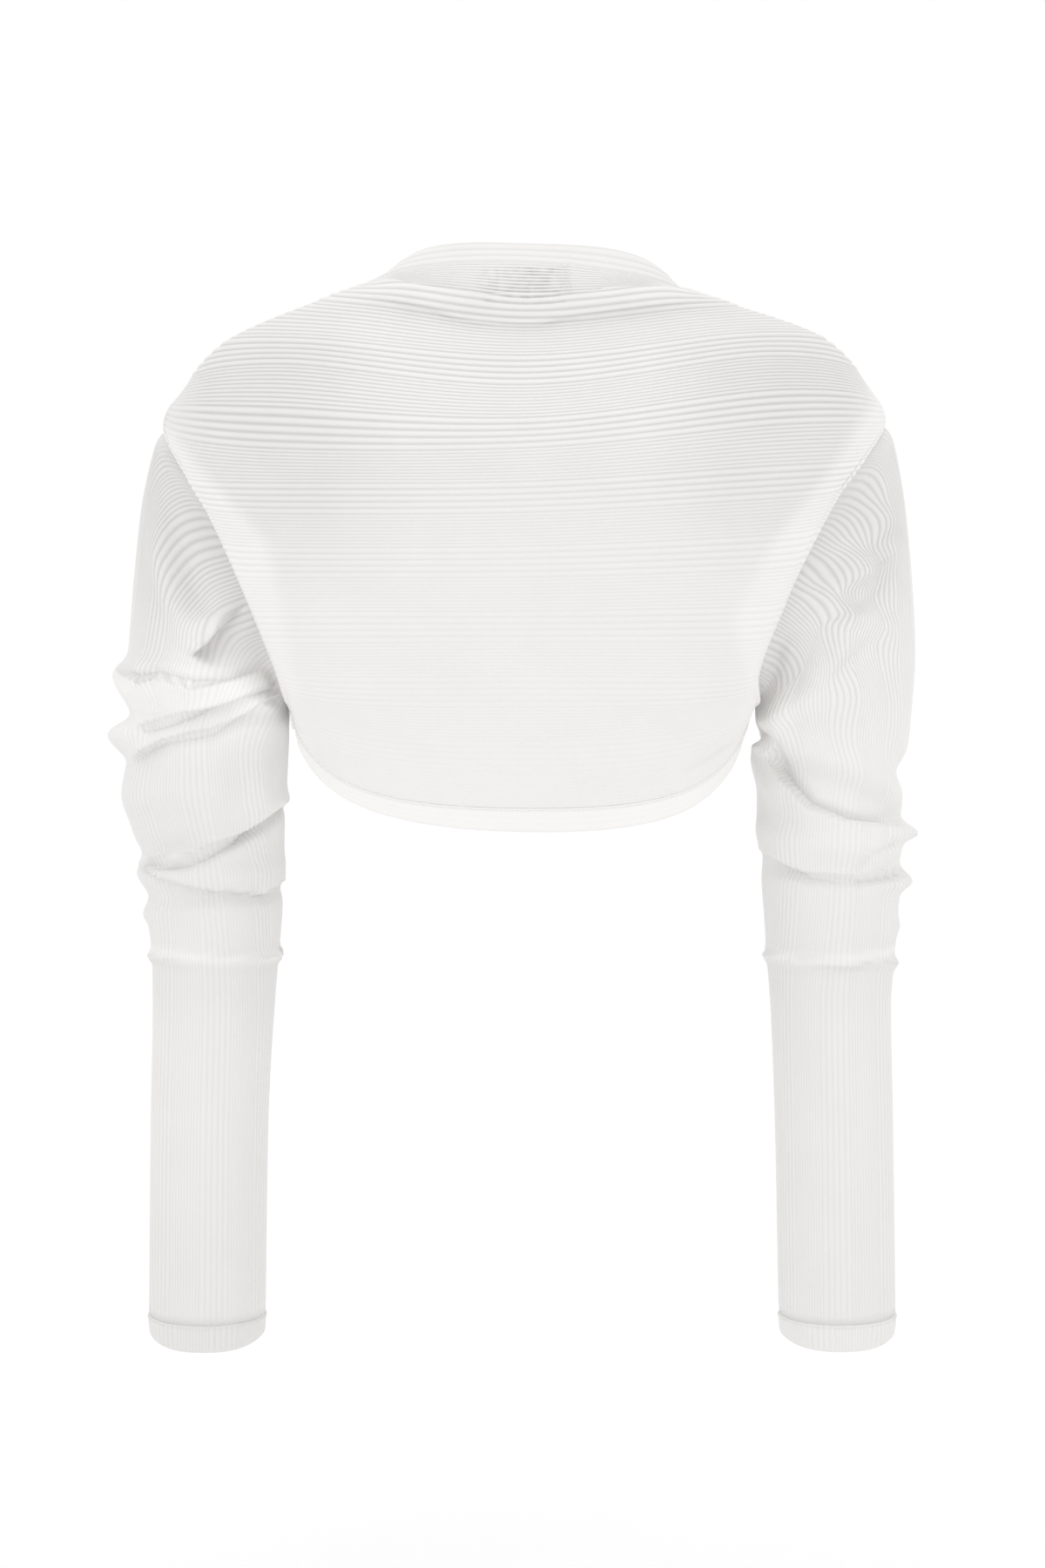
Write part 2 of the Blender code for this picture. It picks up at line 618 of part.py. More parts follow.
def back_hint(column, height):
    """Roughly outwards from the torso, turned over inside the side folds."""
    spot = back_point(column, height)
    middle = back_point(math.copysign(max(0.0, abs(column) - 0.3), column), height)
    along = spot - middle
    return np.array((along[1], -along[0], 0.0)) * (1 if column >= 0 else -1) + np.array((0, -0.01, 0))


def back_line(columns, height, lift, clear, rib=0.0):
    """Points along one row of the back, moved outwards, that stop short of its ends."""
    line = []
    for column in columns:
        if abs(column) == 2.0:
            column = end_column(height, math.copysign(1, column), clear)
        normal = normal_at(back_point, column, height, (0.03, 1.5), back_hint(column, height))
        raised = rib * min(1.0, max(0.0, (FLAT_FROM_COLUMN - abs(column)) / RIB_FADE))
        line.append(back_point(column, height) + normal * (lift + raised))
    return line


def back_wall(name, rows, material, thick, columns, inner_rows, lift=0.0, clear=0.0):
    """A wall over part of the back, from rows of (height, crest)."""
    outer = [back_line(columns, h, lift, clear, crest * RIB_HEIGHT) for h, crest in rows]
    inner = [back_line(columns, h, lift - thick, clear) for h in inner_rows]
    return wall(name, outer, inner, material)


def make_back(material):
    rows = rib_rows(NECK_SEAM - SEAM, HEM_SEAM + SEAM)
    inside = [rows[0][0]]
    for height, _ in rows[1:-1]:
        step = INSIDE_FINE_STEP if turns_sharply(height) else INSIDE_STEP
        if inside[-1] - height > step and height - rows[-1][0] > 3.0:
            inside.append(height)
    inside.append(rows[-1][0])
    return back_wall("back", rows, material, CLOTH, back_columns(), inside, clear=3 * SEAM)


def make_neck_band(material):
    heights = [NECK_EDGE, (NECK_EDGE + NECK_SEAM) / 2, NECK_SEAM + SEAM / 2]
    rows = [(h, 0) for h in heights]
    return back_wall("neck_band", rows, material, HEM, back_columns(), heights, HEM_STANDS, SEAM)


def make_hem_band(material):
    heights = [HEM_SEAM - SEAM / 2, (HEM_SEAM + HEM_EDGE) / 2, HEM_EDGE]
    rows = [(h, 0) for h in heights]
    return back_wall("hem_band", rows, material, HEM, back_columns(), heights, HEM_STANDS, SEAM)


def front_hint(side):
    """Roughly outwards from the torso over a front and under the arm."""
    return np.array((0.6 * side, 1.0, 0.6))


def make_front(side, material):
    def surface(across, down):
        return front_point(side, across, down)

    def line(down, flags):
        width = np.linalg.norm(surface(1.0, down) - surface(0.0, down))
        start, end = (2 + 2 * down**4) * SEAM / width, 1.0 - 3 * SEAM / width
        ribs_left = min(1.0, width / FULL_RIB_WIDTH) ** 2 * min(1.0, down / 0.06)
        points = []
        for share, rib, lift in flags:
            across = start + share * (end - start)
            normal = normal_at(surface, across, down, (0.04, 0.02), front_hint(side))
            points.append(surface(across, down) + normal * (lift + rib * ribs_left))
        return points

    def lines(flags):
        return [line(down, flags) for down in FRONT_LINES]

    flags = [(0.0, 0.0, 0.0)]
    repeat = 1.0 / FRONT_BANDS
    pitch = repeat * RIB_PITCH / RIB_REPEAT
    for band in range(FRONT_BANDS):
        first = band * repeat + repeat / 2 - RIBS_IN_BAND * pitch / 2
        for step in range(2 * RIBS_IN_BAND + 1):
            flags.append((first + step * pitch / 2, RIB_HEIGHT * (step % 2), 0.0))
    flags.append((1.0, 0.0, 0.0))
    inner_flags = [(i / INSIDE_FRONT_STEPS, 0.0, -CLOTH) for i in range(INSIDE_FRONT_STEPS + 1)]
    return wall(f"{SIDE_NAME[side]}_front", lines(flags), lines(inner_flags), material)


def make_front_band(side, material):
    """The turned band beside a front, from the neck band to the strip under the arm."""
    share_of_width = (0.0, 0.5, 1.0)

    def edge(down, width, thick):
        line = front_point(side, 0.0, down)
        ahead = front_point(side, 0.0, min(1.0, down + 0.01))
        behind = front_point(side, 0.0, max(0.0, down - 0.01))
        along = ahead - behind
        along /= np.linalg.norm(along)
        inwards = line - front_point(side, 0.12, down)
        inwards -= along * float(np.dot(inwards, along))
        inwards /= np.linalg.norm(inwards)
        out = np.cross(along, inwards)
        if float(np.dot(out, front_hint(side))) < 0:
            out = -out
        return line + inwards * (SEAM / 2 + width * BAND_WIDTH) + out * thick

    downs = [0.004 + 0.992 * i / 13 for i in range(14)]
    outer = [[edge(d, w, HEM_STANDS) for w in share_of_width] for d in downs]
    inner = [[edge(d, w, HEM_STANDS - HEM) for w in share_of_width] for d in downs]
    return wall(f"{SIDE_NAME[side]}_front_band", outer, inner, material)


def make_sleeve(side, material):
    def surface(angle, share):
        return sleeve_point(side, angle, share)

    def ring(ring_share, angles, lift):
        share = ring_share
        points = []
        for angle, crest in angles:
            if ring_share < 0.01:
                share = ring_share * (2.0 if BACK_SHARE <= angle <= FRONT_SHARE else 1.0)
            spot = surface(angle, share)
            hint = spot - sleeve_middle(side, share)
            along_angle = surface(angle + 5.0, share) - surface(angle - 5.0, share)
            low, high = max(0.0, share - 0.011), min(1.0, share + 0.011)
            along_share = surface(angle, high) - surface(angle, low)
            normal = np.cross(along_angle, along_share)
            normal /= np.linalg.norm(normal)
            if float(np.dot(normal, hint)) < 0:
                normal = -normal
            rib = crest * RIB_HEIGHT * min(1.0, share / FLAT_TO_SHARE)
            points.append(spot + normal * (lift + rib))
        return points

    outside, inside = sleeve_angles()
    rings = LEFT_RINGS if side < 0 else RIGHT_RINGS
    outer = [ring(share, outside, 0.0) for share in rings]
    inner = [ring(share, inside, -CLOTH) for share in rings]
    return wall(f"{SIDE_NAME[side]}_sleeve", outer, inner, material, closed=True)


def make_cuff(side, material):
    def ring(drop, lift):
        curl = (drop / CUFF_DEPTH) ** 2
        points = []
        for step in range(CUFF_STEPS):
            angle = step * 360.0 / CUFF_STEPS
            spot = sleeve_section(side, angle, 1.0)
            outward = spot - sleeve_middle(side, 1.0)
            outward[2] = 0.0
            outward /= np.linalg.norm(outward)
            raised = curl * CUFF_CURL * math.cos(math.radians(angle)) ** 4
            spot = spot + outward * (lift - curl * CUFF_TUCK)
            points.append(spot + np.array((0.0, 0.0, raised - drop)))
        return points

    drops = (SEAM, SEAM + CUFF_DEPTH / 2, SEAM + CUFF_DEPTH)
    outer = [ring(drop, HEM_STANDS) for drop in drops]
    inner = [ring(drop, HEM_STANDS - HEM) for drop in drops]
    return wall(f"{SIDE_NAME[side]}_cuff", outer, inner, material, closed=True)


def make_label(material):
    """A bare label that lies on the inner face of the back neck."""
    columns = []
    for i in range(6):
        x = LABEL_LEFT + (LABEL_RIGHT - LABEL_LEFT) * i / 5
        half = BACK.at(0.0)["lx"] if x < 0 else BACK.at(0.0)["rx"]
        columns.append(math.copysign(math.asin(abs(x) / half) * 2 / math.pi, x))
    heights = [LABEL_TOP + (LABEL_FOOT - LABEL_TOP) * i / 4 for i in range(5)]
    rows = [(h, 0) for h in heights]
    clear = -(CLOTH + 1.5 * SEAM)
    return back_wall("label", rows, material, LABEL_THICK, columns, heights, lift=clear)


def main():
    for thing in list(bpy.data.objects):
        bpy.data.objects.remove(thing, do_unlink=True)
    knit = cloth_material("knit", COLOURS["knit"])
    hem = cloth_material("hem", COLOURS["hem"])
    label = cloth_material("label", COLOURS["label"])
    make_back(knit)
    make_neck_band(hem)
    make_hem_band(hem)
    for side in (-1, 1):
        make_front(side, knit)
        make_front_band(side, hem)
        make_sleeve(side, knit)
        make_cuff(side, hem)
    make_label(label)


main()
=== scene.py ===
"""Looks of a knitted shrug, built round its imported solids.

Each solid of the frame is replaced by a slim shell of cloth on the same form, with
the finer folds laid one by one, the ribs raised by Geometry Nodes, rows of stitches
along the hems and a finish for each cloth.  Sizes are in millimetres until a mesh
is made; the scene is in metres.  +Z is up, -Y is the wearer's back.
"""

import logging
import math
from dataclasses import dataclass, field
from enum import Enum
from typing import Sequence

import bmesh
import bpy
import numpy as np
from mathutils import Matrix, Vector


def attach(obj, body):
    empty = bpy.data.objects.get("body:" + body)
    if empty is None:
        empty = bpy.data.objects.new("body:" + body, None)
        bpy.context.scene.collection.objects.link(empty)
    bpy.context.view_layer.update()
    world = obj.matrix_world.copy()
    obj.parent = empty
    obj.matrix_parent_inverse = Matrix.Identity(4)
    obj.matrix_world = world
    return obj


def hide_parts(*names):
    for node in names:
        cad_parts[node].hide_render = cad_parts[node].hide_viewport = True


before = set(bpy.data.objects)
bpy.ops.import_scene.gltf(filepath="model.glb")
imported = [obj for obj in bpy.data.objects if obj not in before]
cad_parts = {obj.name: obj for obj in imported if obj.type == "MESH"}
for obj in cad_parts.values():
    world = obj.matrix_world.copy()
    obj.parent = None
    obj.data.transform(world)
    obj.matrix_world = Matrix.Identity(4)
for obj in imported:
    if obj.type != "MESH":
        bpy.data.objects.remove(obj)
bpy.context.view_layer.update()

LOG = logging.getLogger("shrug")
MM = 0.001

# How far a turned band stands out from the cloth that it is sewn to, in millimetres.
BAND_STEP = 0.35


class Side(Enum):
    """The two halves of the garment, as the sign of +X."""

    LEFT = -1
    RIGHT = 1

    @property
    def word(self) -> str:
        """The side's name in lower case, as the nodes spell it."""
        return self.name.lower()


# ------------------------------------------------------------------- gradual changes


def rise(value: np.ndarray | float, start: np.ndarray | float, length: float) -> np.ndarray:
    """0 up to a start, then evenly up to 1 over a length."""
    return np.clip((value - start) / length, 0, 1)


def fall(value: np.ndarray | float, end: np.ndarray | float, length: float) -> np.ndarray:
    """1 until a length before an end, then evenly down to 0 there."""
    return np.clip((end - value) / length, 0, 1)


def within(value: np.ndarray, low: float, high: float, length: float) -> np.ndarray:
    """0 at two places, and evenly up to 1 between them over a length from each."""
    return rise(value, low, length) * fall(value, high, length)


def bell(value: np.ndarray, middle: np.ndarray | float, half: float) -> np.ndarray:
    """1 at the middle, and softly down to nothing on both sides of it."""
    return np.exp(-(((value - middle) / half) ** 2))


def rounded_off(from_fold: np.ndarray, radius: float = 1.4, depth: float = 0.9) -> np.ndarray:
    """How far the face of a turned edge falls away towards its fold."""
    near = 1.0 - np.minimum(from_fold, radius) / radius
    return depth * (1.0 - np.sqrt(np.clip(1.0 - near**2, 0, 1)))


# ------------------------------------------------------------------- node maths


class Wire:
    """An output socket that Python arithmetic joins to others through Math nodes."""

    def __init__(self, graph: "Graph", socket: bpy.types.NodeSocket) -> None:
        """Wraps a socket of a graph."""
        self.graph = graph
        self.socket = socket

    def math(
        self, operation: str, *others: "Wire | float", first: "Wire | float | None" = None
    ) -> "Wire":
        """A Math node on this wire.

        Args:
            operation: the node's operation.
            others: what follows this wire in the node's sockets.
            first: what comes before it, for a reflected operator.

        Returns:
            The node's result.
        """
        values = [self, *others] if first is None else [first, self]
        return self.graph.node("ShaderNodeMath", {"operation": operation}, dict(enumerate(values)))

    def __add__(self, other: "Wire | float") -> "Wire":
        """This plus another."""
        return self.math("ADD", other)

    __radd__ = __add__

    def __mul__(self, other: "Wire | float") -> "Wire":
        """This times another."""
        return self.math("MULTIPLY", other)

    __rmul__ = __mul__

    def __sub__(self, other: "Wire | float") -> "Wire":
        """This minus another."""
        return self.math("SUBTRACT", other)

    def __rsub__(self, other: "Wire | float") -> "Wire":
        """Another minus this."""
        return self.math("SUBTRACT", first=other)

    def __truediv__(self, other: "Wire | float") -> "Wire":
        """This divided by another."""
        return self.math("DIVIDE", other)

    def wave(self, pitch: "Wire | float") -> "Wire":
        """0 to 1 and back once for each pitch along this wire."""
        return 0.5 - 0.5 * (self / pitch * (2 * math.pi)).math("COSINE")

    def repeat(self, length: "Wire | float") -> "Wire":
        """This wire wrapped into one repeat of that length."""
        return self.math("FLOORED_MODULO", length)

    def below(self, limit: "Wire | float") -> "Wire":
        """1 where this is less than the limit, else 0."""
        return self.math("LESS_THAN", limit)

    def clamped(self) -> "Wire":
        """This wire kept between 0 and 1."""
        return self.math("MAXIMUM", 0.0).math("MINIMUM", 1.0)


class Graph:
    """A node tree with one method that makes any node."""

    def __init__(self, tree: bpy.types.NodeTree) -> None:
        """Wraps a tree."""
        self.tree = tree

    def node(
        self,
        kind: str,
        settings: dict | None = None,
        inputs: dict | None = None,
        output: int | str = 0,
    ) -> Wire:
        """Makes a node.

        Args:
            kind: the node's type.
            settings: its own settings, set first.
            inputs: values or wires by socket name or number.
            output: the output that is returned.

        Returns:
            The wire of that output.
        """
        made = self.tree.nodes.new(kind)
        for name, value in (settings or {}).items():
            setattr(made, name, value)
        for key, value in (inputs or {}).items():
            self.plug(made.inputs[key], value)
        return Wire(self, made.outputs[output])

    def plug(self, socket: bpy.types.NodeSocket, value: Wire | float | tuple) -> None:
        """Joins a wire to an input socket, or sets the socket's own value."""
        if isinstance(value, Wire):
            self.tree.links.new(value.socket, socket)
        else:
            socket.default_value = value

    def mixed(self, factor: Wire | float, first: Wire | tuple, second: Wire | tuple) -> Wire:
        """A colour between two others."""
        settings = {"data_type": "RGBA"}
        return self.node("ShaderNodeMix", settings, {0: factor, 6: first, 7: second}, output=2)

    def measure(self, name: str) -> Wire:
        """A measure that is stored on the cloth, as a material reads it."""
        return self.node("ShaderNodeAttribute", {"attribute_name": name}, output="Fac")

    def noise(self, spot: Wire, scale: float, detail: float = 2.0) -> Wire:
        """A soft uneven pattern."""
        return self.node("ShaderNodeTexNoise", {}, {"Vector": spot, "Scale": scale, "Detail": detail})


# ------------------------------------------------------------------- rib relief


@dataclass(frozen=True)
class RibGauge:
    """Sizes of the rib pattern: a band of bold ribs, then a stretch of fine ones."""

    repeat: float = 38.0
    bold_pitch: float = 3.7
    bold_count: int = 5
    fine_count: int = 10
    bold_height: float = 0.62
    fine_height: float = 0.30
    first_band: float = -12.0

    @property
    def bold_width(self) -> float:
        """Width of the bold band."""
        return self.bold_pitch * self.bold_count

    @property
    def fine_pitch(self) -> float:
        """Crest to crest in the fine stretch."""
        return (self.repeat - self.bold_width) / self.fine_count

    @property
    def start(self) -> float:
        """Where a bold band starts, in the measure that runs up the back."""
        return self.first_band - self.bold_width / 2

    def stations(self, bold_steps: int = 6, fine_steps: int = 4) -> np.ndarray:
        """Places over one repeat that follow every crest and groove.

        Args:
            bold_steps: points for each bold rib.
            fine_steps: points for each fine rib.

        Returns:
            Distances from the start of the bold band.
        """
        bold = np.arange(self.bold_count * bold_steps) * self.bold_pitch / bold_steps
        fine = np.arange(self.fine_count * fine_steps) * self.fine_pitch / fine_steps
        return np.concatenate((bold, self.bold_width + fine))


class MakerTree:
    """A Geometry Nodes tree that works on a mesh, with sizes and a material for each piece."""

    def __init__(self, name: str, sizes: Sequence[str], material: str) -> None:
        """Makes the tree's inputs and its output.

        Args:
            name: the tree's name.
            sizes: the names of the inputs that hold its sizes.
            material: the name of the input that holds the material.
        """
        self.tree = bpy.data.node_groups.new(name, "GeometryNodeTree")
        face = self.tree.interface
        face.new_socket("Geometry", in_out="INPUT", socket_type="NodeSocketGeometry")
        for size in sizes:
            face.new_socket(size, in_out="INPUT", socket_type="NodeSocketFloat")
        face.new_socket(material, in_out="INPUT", socket_type="NodeSocketMaterial")
        face.new_socket("Geometry", in_out="OUTPUT", socket_type="NodeSocketGeometry")
        self.graph = Graph(self.tree)
        given = self.tree.nodes.new("NodeGroupInput")
        self.given = {socket.name: Wire(self.graph, socket) for socket in given.outputs if socket.name}
        dressing = {"Geometry": self.shaped(), "Material": self.given[material]}
        dressed = self.graph.node("GeometryNodeSetMaterial", {}, dressing)
        out = self.tree.nodes.new("NodeGroupOutput")
        self.tree.links.new(dressed.socket, out.inputs[0])

    def shaped(self) -> Wire:
        """Joins the nodes that shape the geometry, and gives the real result."""
        raise NotImplementedError

    def settle(self, piece: bpy.types.Object, values: dict) -> None:
        """Runs the tree on a piece and keeps the result as its plain mesh.

        Args:
            piece: the object that the tree works on.
            values: the modifier's inputs by their names.
        """
        modifier = piece.modifiers.new("made", "NODES")
        modifier.node_group = self.tree
        for item in self.tree.interface.items_tree:
            if item.in_out == "INPUT" and item.name in values:
                modifier[item.identifier] = values[item.name]
        graph = bpy.context.evaluated_depsgraph_get()
        mesh = bpy.data.meshes.new_from_object(piece.evaluated_get(graph))
        piece.modifiers.remove(modifier)
        plain = piece.data
        piece.data = mesh
        bpy.data.meshes.remove(plain)
        mesh.name = piece.name


class ReliefTree(MakerTree):
    """The tree that raises the ribs out of a plain shell."""

    def __init__(self, gauge: RibGauge) -> None:
        """Builds the tree once for a rib pattern."""
        self.gauge = gauge
        sizes = ("Repeat", "Bold Width", "Bold Pitch", "Fine Pitch", "Bold Height", "Fine Height")
        super().__init__("rib relief", sizes, "Cloth")

    def shaped(self) -> Wire:
        """Moves each point out along its normal, to the height of its rib."""
        graph, size = self.graph, self.given
        wale, full = (
            graph.node("GeometryNodeInputNamedAttribute", {"data_type": "FLOAT"}, {"Name": name})
            for name in ("wale", "rib")
        )
        place = wale.repeat(size["Repeat"])
        bold = place.below(size["Bold Width"])
        fine = 1.0 - bold
        pitch = bold * size["Bold Pitch"] + fine * size["Fine Pitch"]
        height = bold * size["Bold Height"] + fine * size["Fine Height"]
        local = place - fine * size["Bold Width"]
        lift = local.wave(pitch) * height * full * MM
        outwards = {0: graph.node("GeometryNodeInputNormal"), "Scale": lift}
        offset = graph.node("ShaderNodeVectorMath", {"operation": "SCALE"}, outwards)
        moving = {"Geometry": size["Geometry"], "Offset": offset}
        moved = graph.node("GeometryNodeSetPosition", {}, moving)
        return graph.node("GeometryNodeRealizeInstances", {}, {"Geometry": moved})

    def raise_on(self, piece: bpy.types.Object, cloth: bpy.types.Material, share: float = 1.0) -> None:
        """Raises the ribs on a piece.

        Args:
            piece: the shell, with its "wale" and "rib" measures.
            cloth: its material.
            share: how high the ribs are beside the full height.
        """
        gauge = self.gauge
        values = {
            "Repeat": gauge.repeat,
            "Bold Width": gauge.bold_width,
            "Bold Pitch": gauge.bold_pitch,
            "Fine Pitch": gauge.fine_pitch,
            "Bold Height": gauge.bold_height * share,
            "Fine Height": gauge.fine_height * share,
            "Cloth": cloth,
        }
        self.settle(piece, values)


class StitchTree(MakerTree):
    """The tree that sets small raised stitches along a line."""

    pitch, length, thickness = 2.4, 1.9, 0.5

    def __init__(self) -> None:
        """Builds the tree once."""
        super().__init__("stitch row", ("Pitch", "Length", "Thickness"), "Thread")

    def shaped(self) -> Wire:
        """Sets a bead on each station of the line, long way along it."""
        graph, size = self.graph, self.given
        line = graph.node("GeometryNodeMeshToCurve", {}, {0: size["Geometry"]})
        stations = {"Curve": line, "Length": size["Pitch"]}
        sampled = graph.node("GeometryNodeResampleCurve", {"mode": "LENGTH"}, stations)
        tangent = graph.node("GeometryNodeInputTangent")
        turned = graph.node("FunctionNodeAlignRotationToVector", {"axis": "X"}, {"Vector": tangent})
        bead = graph.node("GeometryNodeMeshUVSphere", {}, {"Segments": 8, "Rings": 5, "Radius": 0.5})
        sizes = {0: size["Length"], 1: size["Thickness"], 2: size["Thickness"]}
        scale = graph.node("ShaderNodeCombineXYZ", {}, sizes)
        beads = {"Points": sampled, "Instance": bead, "Rotation": turned, "Scale": scale}
        placed = graph.node("GeometryNodeInstanceOnPoints", {}, beads)
        return graph.node("GeometryNodeRealizeInstances", {}, {"Geometry": placed})

    def sew(
        self, name: str, lines: Sequence[np.ndarray], thread: bpy.types.Material
    ) -> bpy.types.Object:
        """Sews rows of stitches along lines.

        Args:
            name: the piece's name.
            lines: points in millimetres, one array for each row.
            thread: the stitches' material.

        Returns:
            The finished piece.
        """
        points, edges = [], []
        for line in lines:
            first = len(points)
            points += [tuple(point * MM) for point in line]
            edges += [(first + i, first + i + 1) for i in range(len(line) - 1)]
        mesh = bpy.data.meshes.new(name)
        mesh.from_pydata(points, edges, [])
        piece = placed(name, mesh)
        sizes = {"Pitch": self.pitch * MM, "Length": self.length * MM, "Thickness": self.thickness * MM}
        self.settle(piece, {**sizes, "Thread": thread})
        piece.data.shade_smooth()
        return piece


def placed(name: str, data: bpy.types.ID) -> bpy.types.Object:
    """A new object of the scene."""
    made = bpy.data.objects.new(name, data)
    bpy.context.scene.collection.objects.link(made)
    return made


# ------------------------------------------------------------------- finishes


def toned(colour: Sequence[float], share: float = 1.0) -> tuple[float, ...]:
    """A colour at a share of its strength, with its alpha."""
    return (*(value * share for value in colour), 1.0)


class Paint:
    """A new material with its graph and its shader."""

    def __init__(self, name: str) -> None:
        """Makes the material."""
        self.material = bpy.data.materials.new(name)
        self.material.use_nodes = True
        self.graph = Graph(self.material.node_tree)

    def bump(self, strength: float, depth: float, height: Wire) -> Wire:
        """A fine relief for the shader's normal, with its depth in millimetres."""
        inputs = {"Strength": strength, "Distance": depth * MM, "Height": height}
        return self.graph.node("ShaderNodeBump", {}, inputs)

    def finish(self, inputs: dict) -> bpy.types.Material:
        """Sets the shader's inputs, values or wires by their names, and gives the material."""
        shader = self.material.node_tree.nodes["Principled BSDF"]
        for name, value in inputs.items():
            self.graph.plug(shader.inputs[name], value)
        return self.material


@dataclass(frozen=True)
class KnitFinish:
    """Matt rib knit: painted shade in the grooves, which leaves the crests paler, and small stitches.

    The painted shade runs from the plain colour (0) to the deepest one (1).  The painted
    shade measure of a vertex adds to it, or paints light where it is below 0; spare is
    the room that the plain colour leaves for that painted light.
    """

    name: str
    colour: tuple[float, float, float]
    # shade painted into the rib grooves, which leaves the crests paler
    shade: float = 0.16
    # how strongly each vertex's stored painted shade darkens the colour; below 0 it paints light
    painted_shade_scale: float = 0.05
    spare: float = 0.1
    deepest: float = 0.12
    blotch: float = 0.02
    stitch: float = 1.1
    stitch_slant: float = 0.4
    bump: float = 0.25
    cloud_scale: float = 38.0
    fuzz_scale: float = 900.0
    patch_scale: float = 160.0
    label_tint: tuple[float, float, float] = (0.10, 0.10, 0.11)

    def make(self, gauge: RibGauge) -> bpy.types.Material:
        """Builds the material.

        Args:
            gauge: the rib pattern that the grooves follow.

        Returns:
            The material.
        """
        paint = Paint(self.name)
        graph = paint.graph
        names = ("wale", "course", "rib", "thin", "under")
        wale, along, full, thin, under = (graph.measure(name) for name in names)
        place = wale.repeat(gauge.repeat)
        fine = 1.0 - place.below(gauge.bold_width)
        pitch = gauge.bold_pitch + fine * (gauge.fine_pitch - gauge.bold_pitch)
        crest = (place - fine * gauge.bold_width).wave(pitch)
        groove = (1.0 - crest) * (1.0 - crest)
        stitches = (along + crest * (self.stitch * self.stitch_slant)).wave(self.stitch)
        between = 1.0 - stitches
        spot = graph.node("ShaderNodeTexCoord", {}, output="Object")
        cloud = graph.noise(spot, self.cloud_scale, 3.0)
        fuzz = graph.noise(spot, self.fuzz_scale)
        patch = ((graph.noise(spot, self.patch_scale) - 0.35) * 3.2).clamped()
        # Painted shade: in the rib grooves, by the ribs' height, and from each vertex's stored measure; the
        # noise adds real uneven tone.
        dark = groove * (0.7 + 0.3 * between) * full * self.shade + thin * self.painted_shade_scale
        dark = dark + (cloud - 0.5) * (2.0 * self.blotch) + (fuzz - 0.5) * self.blotch + self.spare
        # The plain colour, raised to leave room for painted light.
        pale = toned(self.colour, 1.0 + (1.0 - self.deepest) * self.spare)
        cloth = graph.mixed(dark.clamped(), pale, toned(self.colour, self.deepest))
        shows = under * (0.02 + 0.50 * groove * (0.4 + 0.6 * between)) * (0.25 + patch)
        cloth = graph.mixed(shows.clamped(), cloth, toned(self.label_tint))
        return paint.finish({
            "Base Color": cloth,
            "Normal": paint.bump(self.bump, 0.25, stitches * 0.6 + fuzz * 0.4),
            "Roughness": 0.92,
            "Sheen Weight": 0.25,
            "Sheen Roughness": 0.5,
            "Specular IOR Level": 0.15,
        })


@dataclass(frozen=True)
class WovenFinish:
    """A plain dark woven tape, for the label."""

    name: str
    colour: tuple[float, float, float]
    thread: float = 0.5

    def make(self) -> bpy.types.Material:
        """Builds the material."""
        paint = Paint(self.name)
        graph = paint.graph
        weave = graph.measure("wale").wave(self.thread) * graph.measure("course").wave(self.thread)
        cloth = graph.mixed(weave, toned(self.colour), toned(self.colour, 1.5))
        relief = paint.bump(0.3, 0.1, weave)
        return paint.finish({"Base Color": cloth, "Normal": relief, "Roughness": 0.75})


@dataclass(frozen=True)
class PlainFinish:
    """A plain matt colour with a little grain, for thread and the floor."""

    name: str
    colour: tuple[float, float, float]
    roughness: float = 0.85
    grain: float = 0.02
    scale: float = 400.0

    def make(self) -> bpy.types.Material:
        """Builds the material."""
        paint = Paint(self.name)
        graph = paint.graph
        spot = graph.node("ShaderNodeTexCoord", {}, output="Object")
        noise = graph.noise(spot, self.scale)
        cloth = graph.mixed(noise, toned(self.colour), toned(self.colour, 1.0 - self.grain))
        return paint.finish({
            "Base Color": cloth,
            "Roughness": self.roughness,
            "Specular IOR Level": 0.2,
        })


# ------------------------------------------------------------------- smooth tables


class Track:
    """A table read as one smooth curve through its rows, with no overshoot."""

    def __init__(self, columns: Sequence[str], rows: Sequence[Sequence[float]]) -> None:
        """Sorts the rows by their first column and finds their slopes."""
        table = np.array(rows, float)
        table = table[np.argsort(table[:, 0])]
        self.names = list(columns)
        self.keys, self.values = table[:, 0], table
        rate = np.diff(table, axis=0) / np.diff(self.keys)[:, None]
        before, after = rate[:-1], rate[1:]
        same = before * after > 0
        safe_before, safe_after = np.where(same, before, 1.0), np.where(same, after, 1.0)
        inner = np.where(same, 2.0 / (1.0 / safe_before + 1.0 / safe_after), 0.0)
        self.slopes = np.vstack((rate[:1], inner, rate[-1:]))

    def at(self, key: np.ndarray) -> dict[str, np.ndarray]:
        """The columns at some keys, by name."""
        key = np.clip(np.asarray(key, float), self.keys[0], self.keys[-1])
        i = np.clip(np.searchsorted(self.keys, key, "right") - 1, 0, len(self.keys) - 2)
        width = (self.keys[i + 1] - self.keys[i])[..., None]
        t = (key - self.keys[i])[..., None] / width
        row = (
            (2 * t**3 - 3 * t**2 + 1) * self.values[i]
            + (t**3 - 2 * t**2 + t) * width * self.slopes[i]
            + (3 * t**2 - 2 * t**3) * self.values[i + 1]
            + (t**3 - t**2) * width * self.slopes[i + 1]
        )
        return {name: row[..., k] for k, name in enumerate(self.names)}


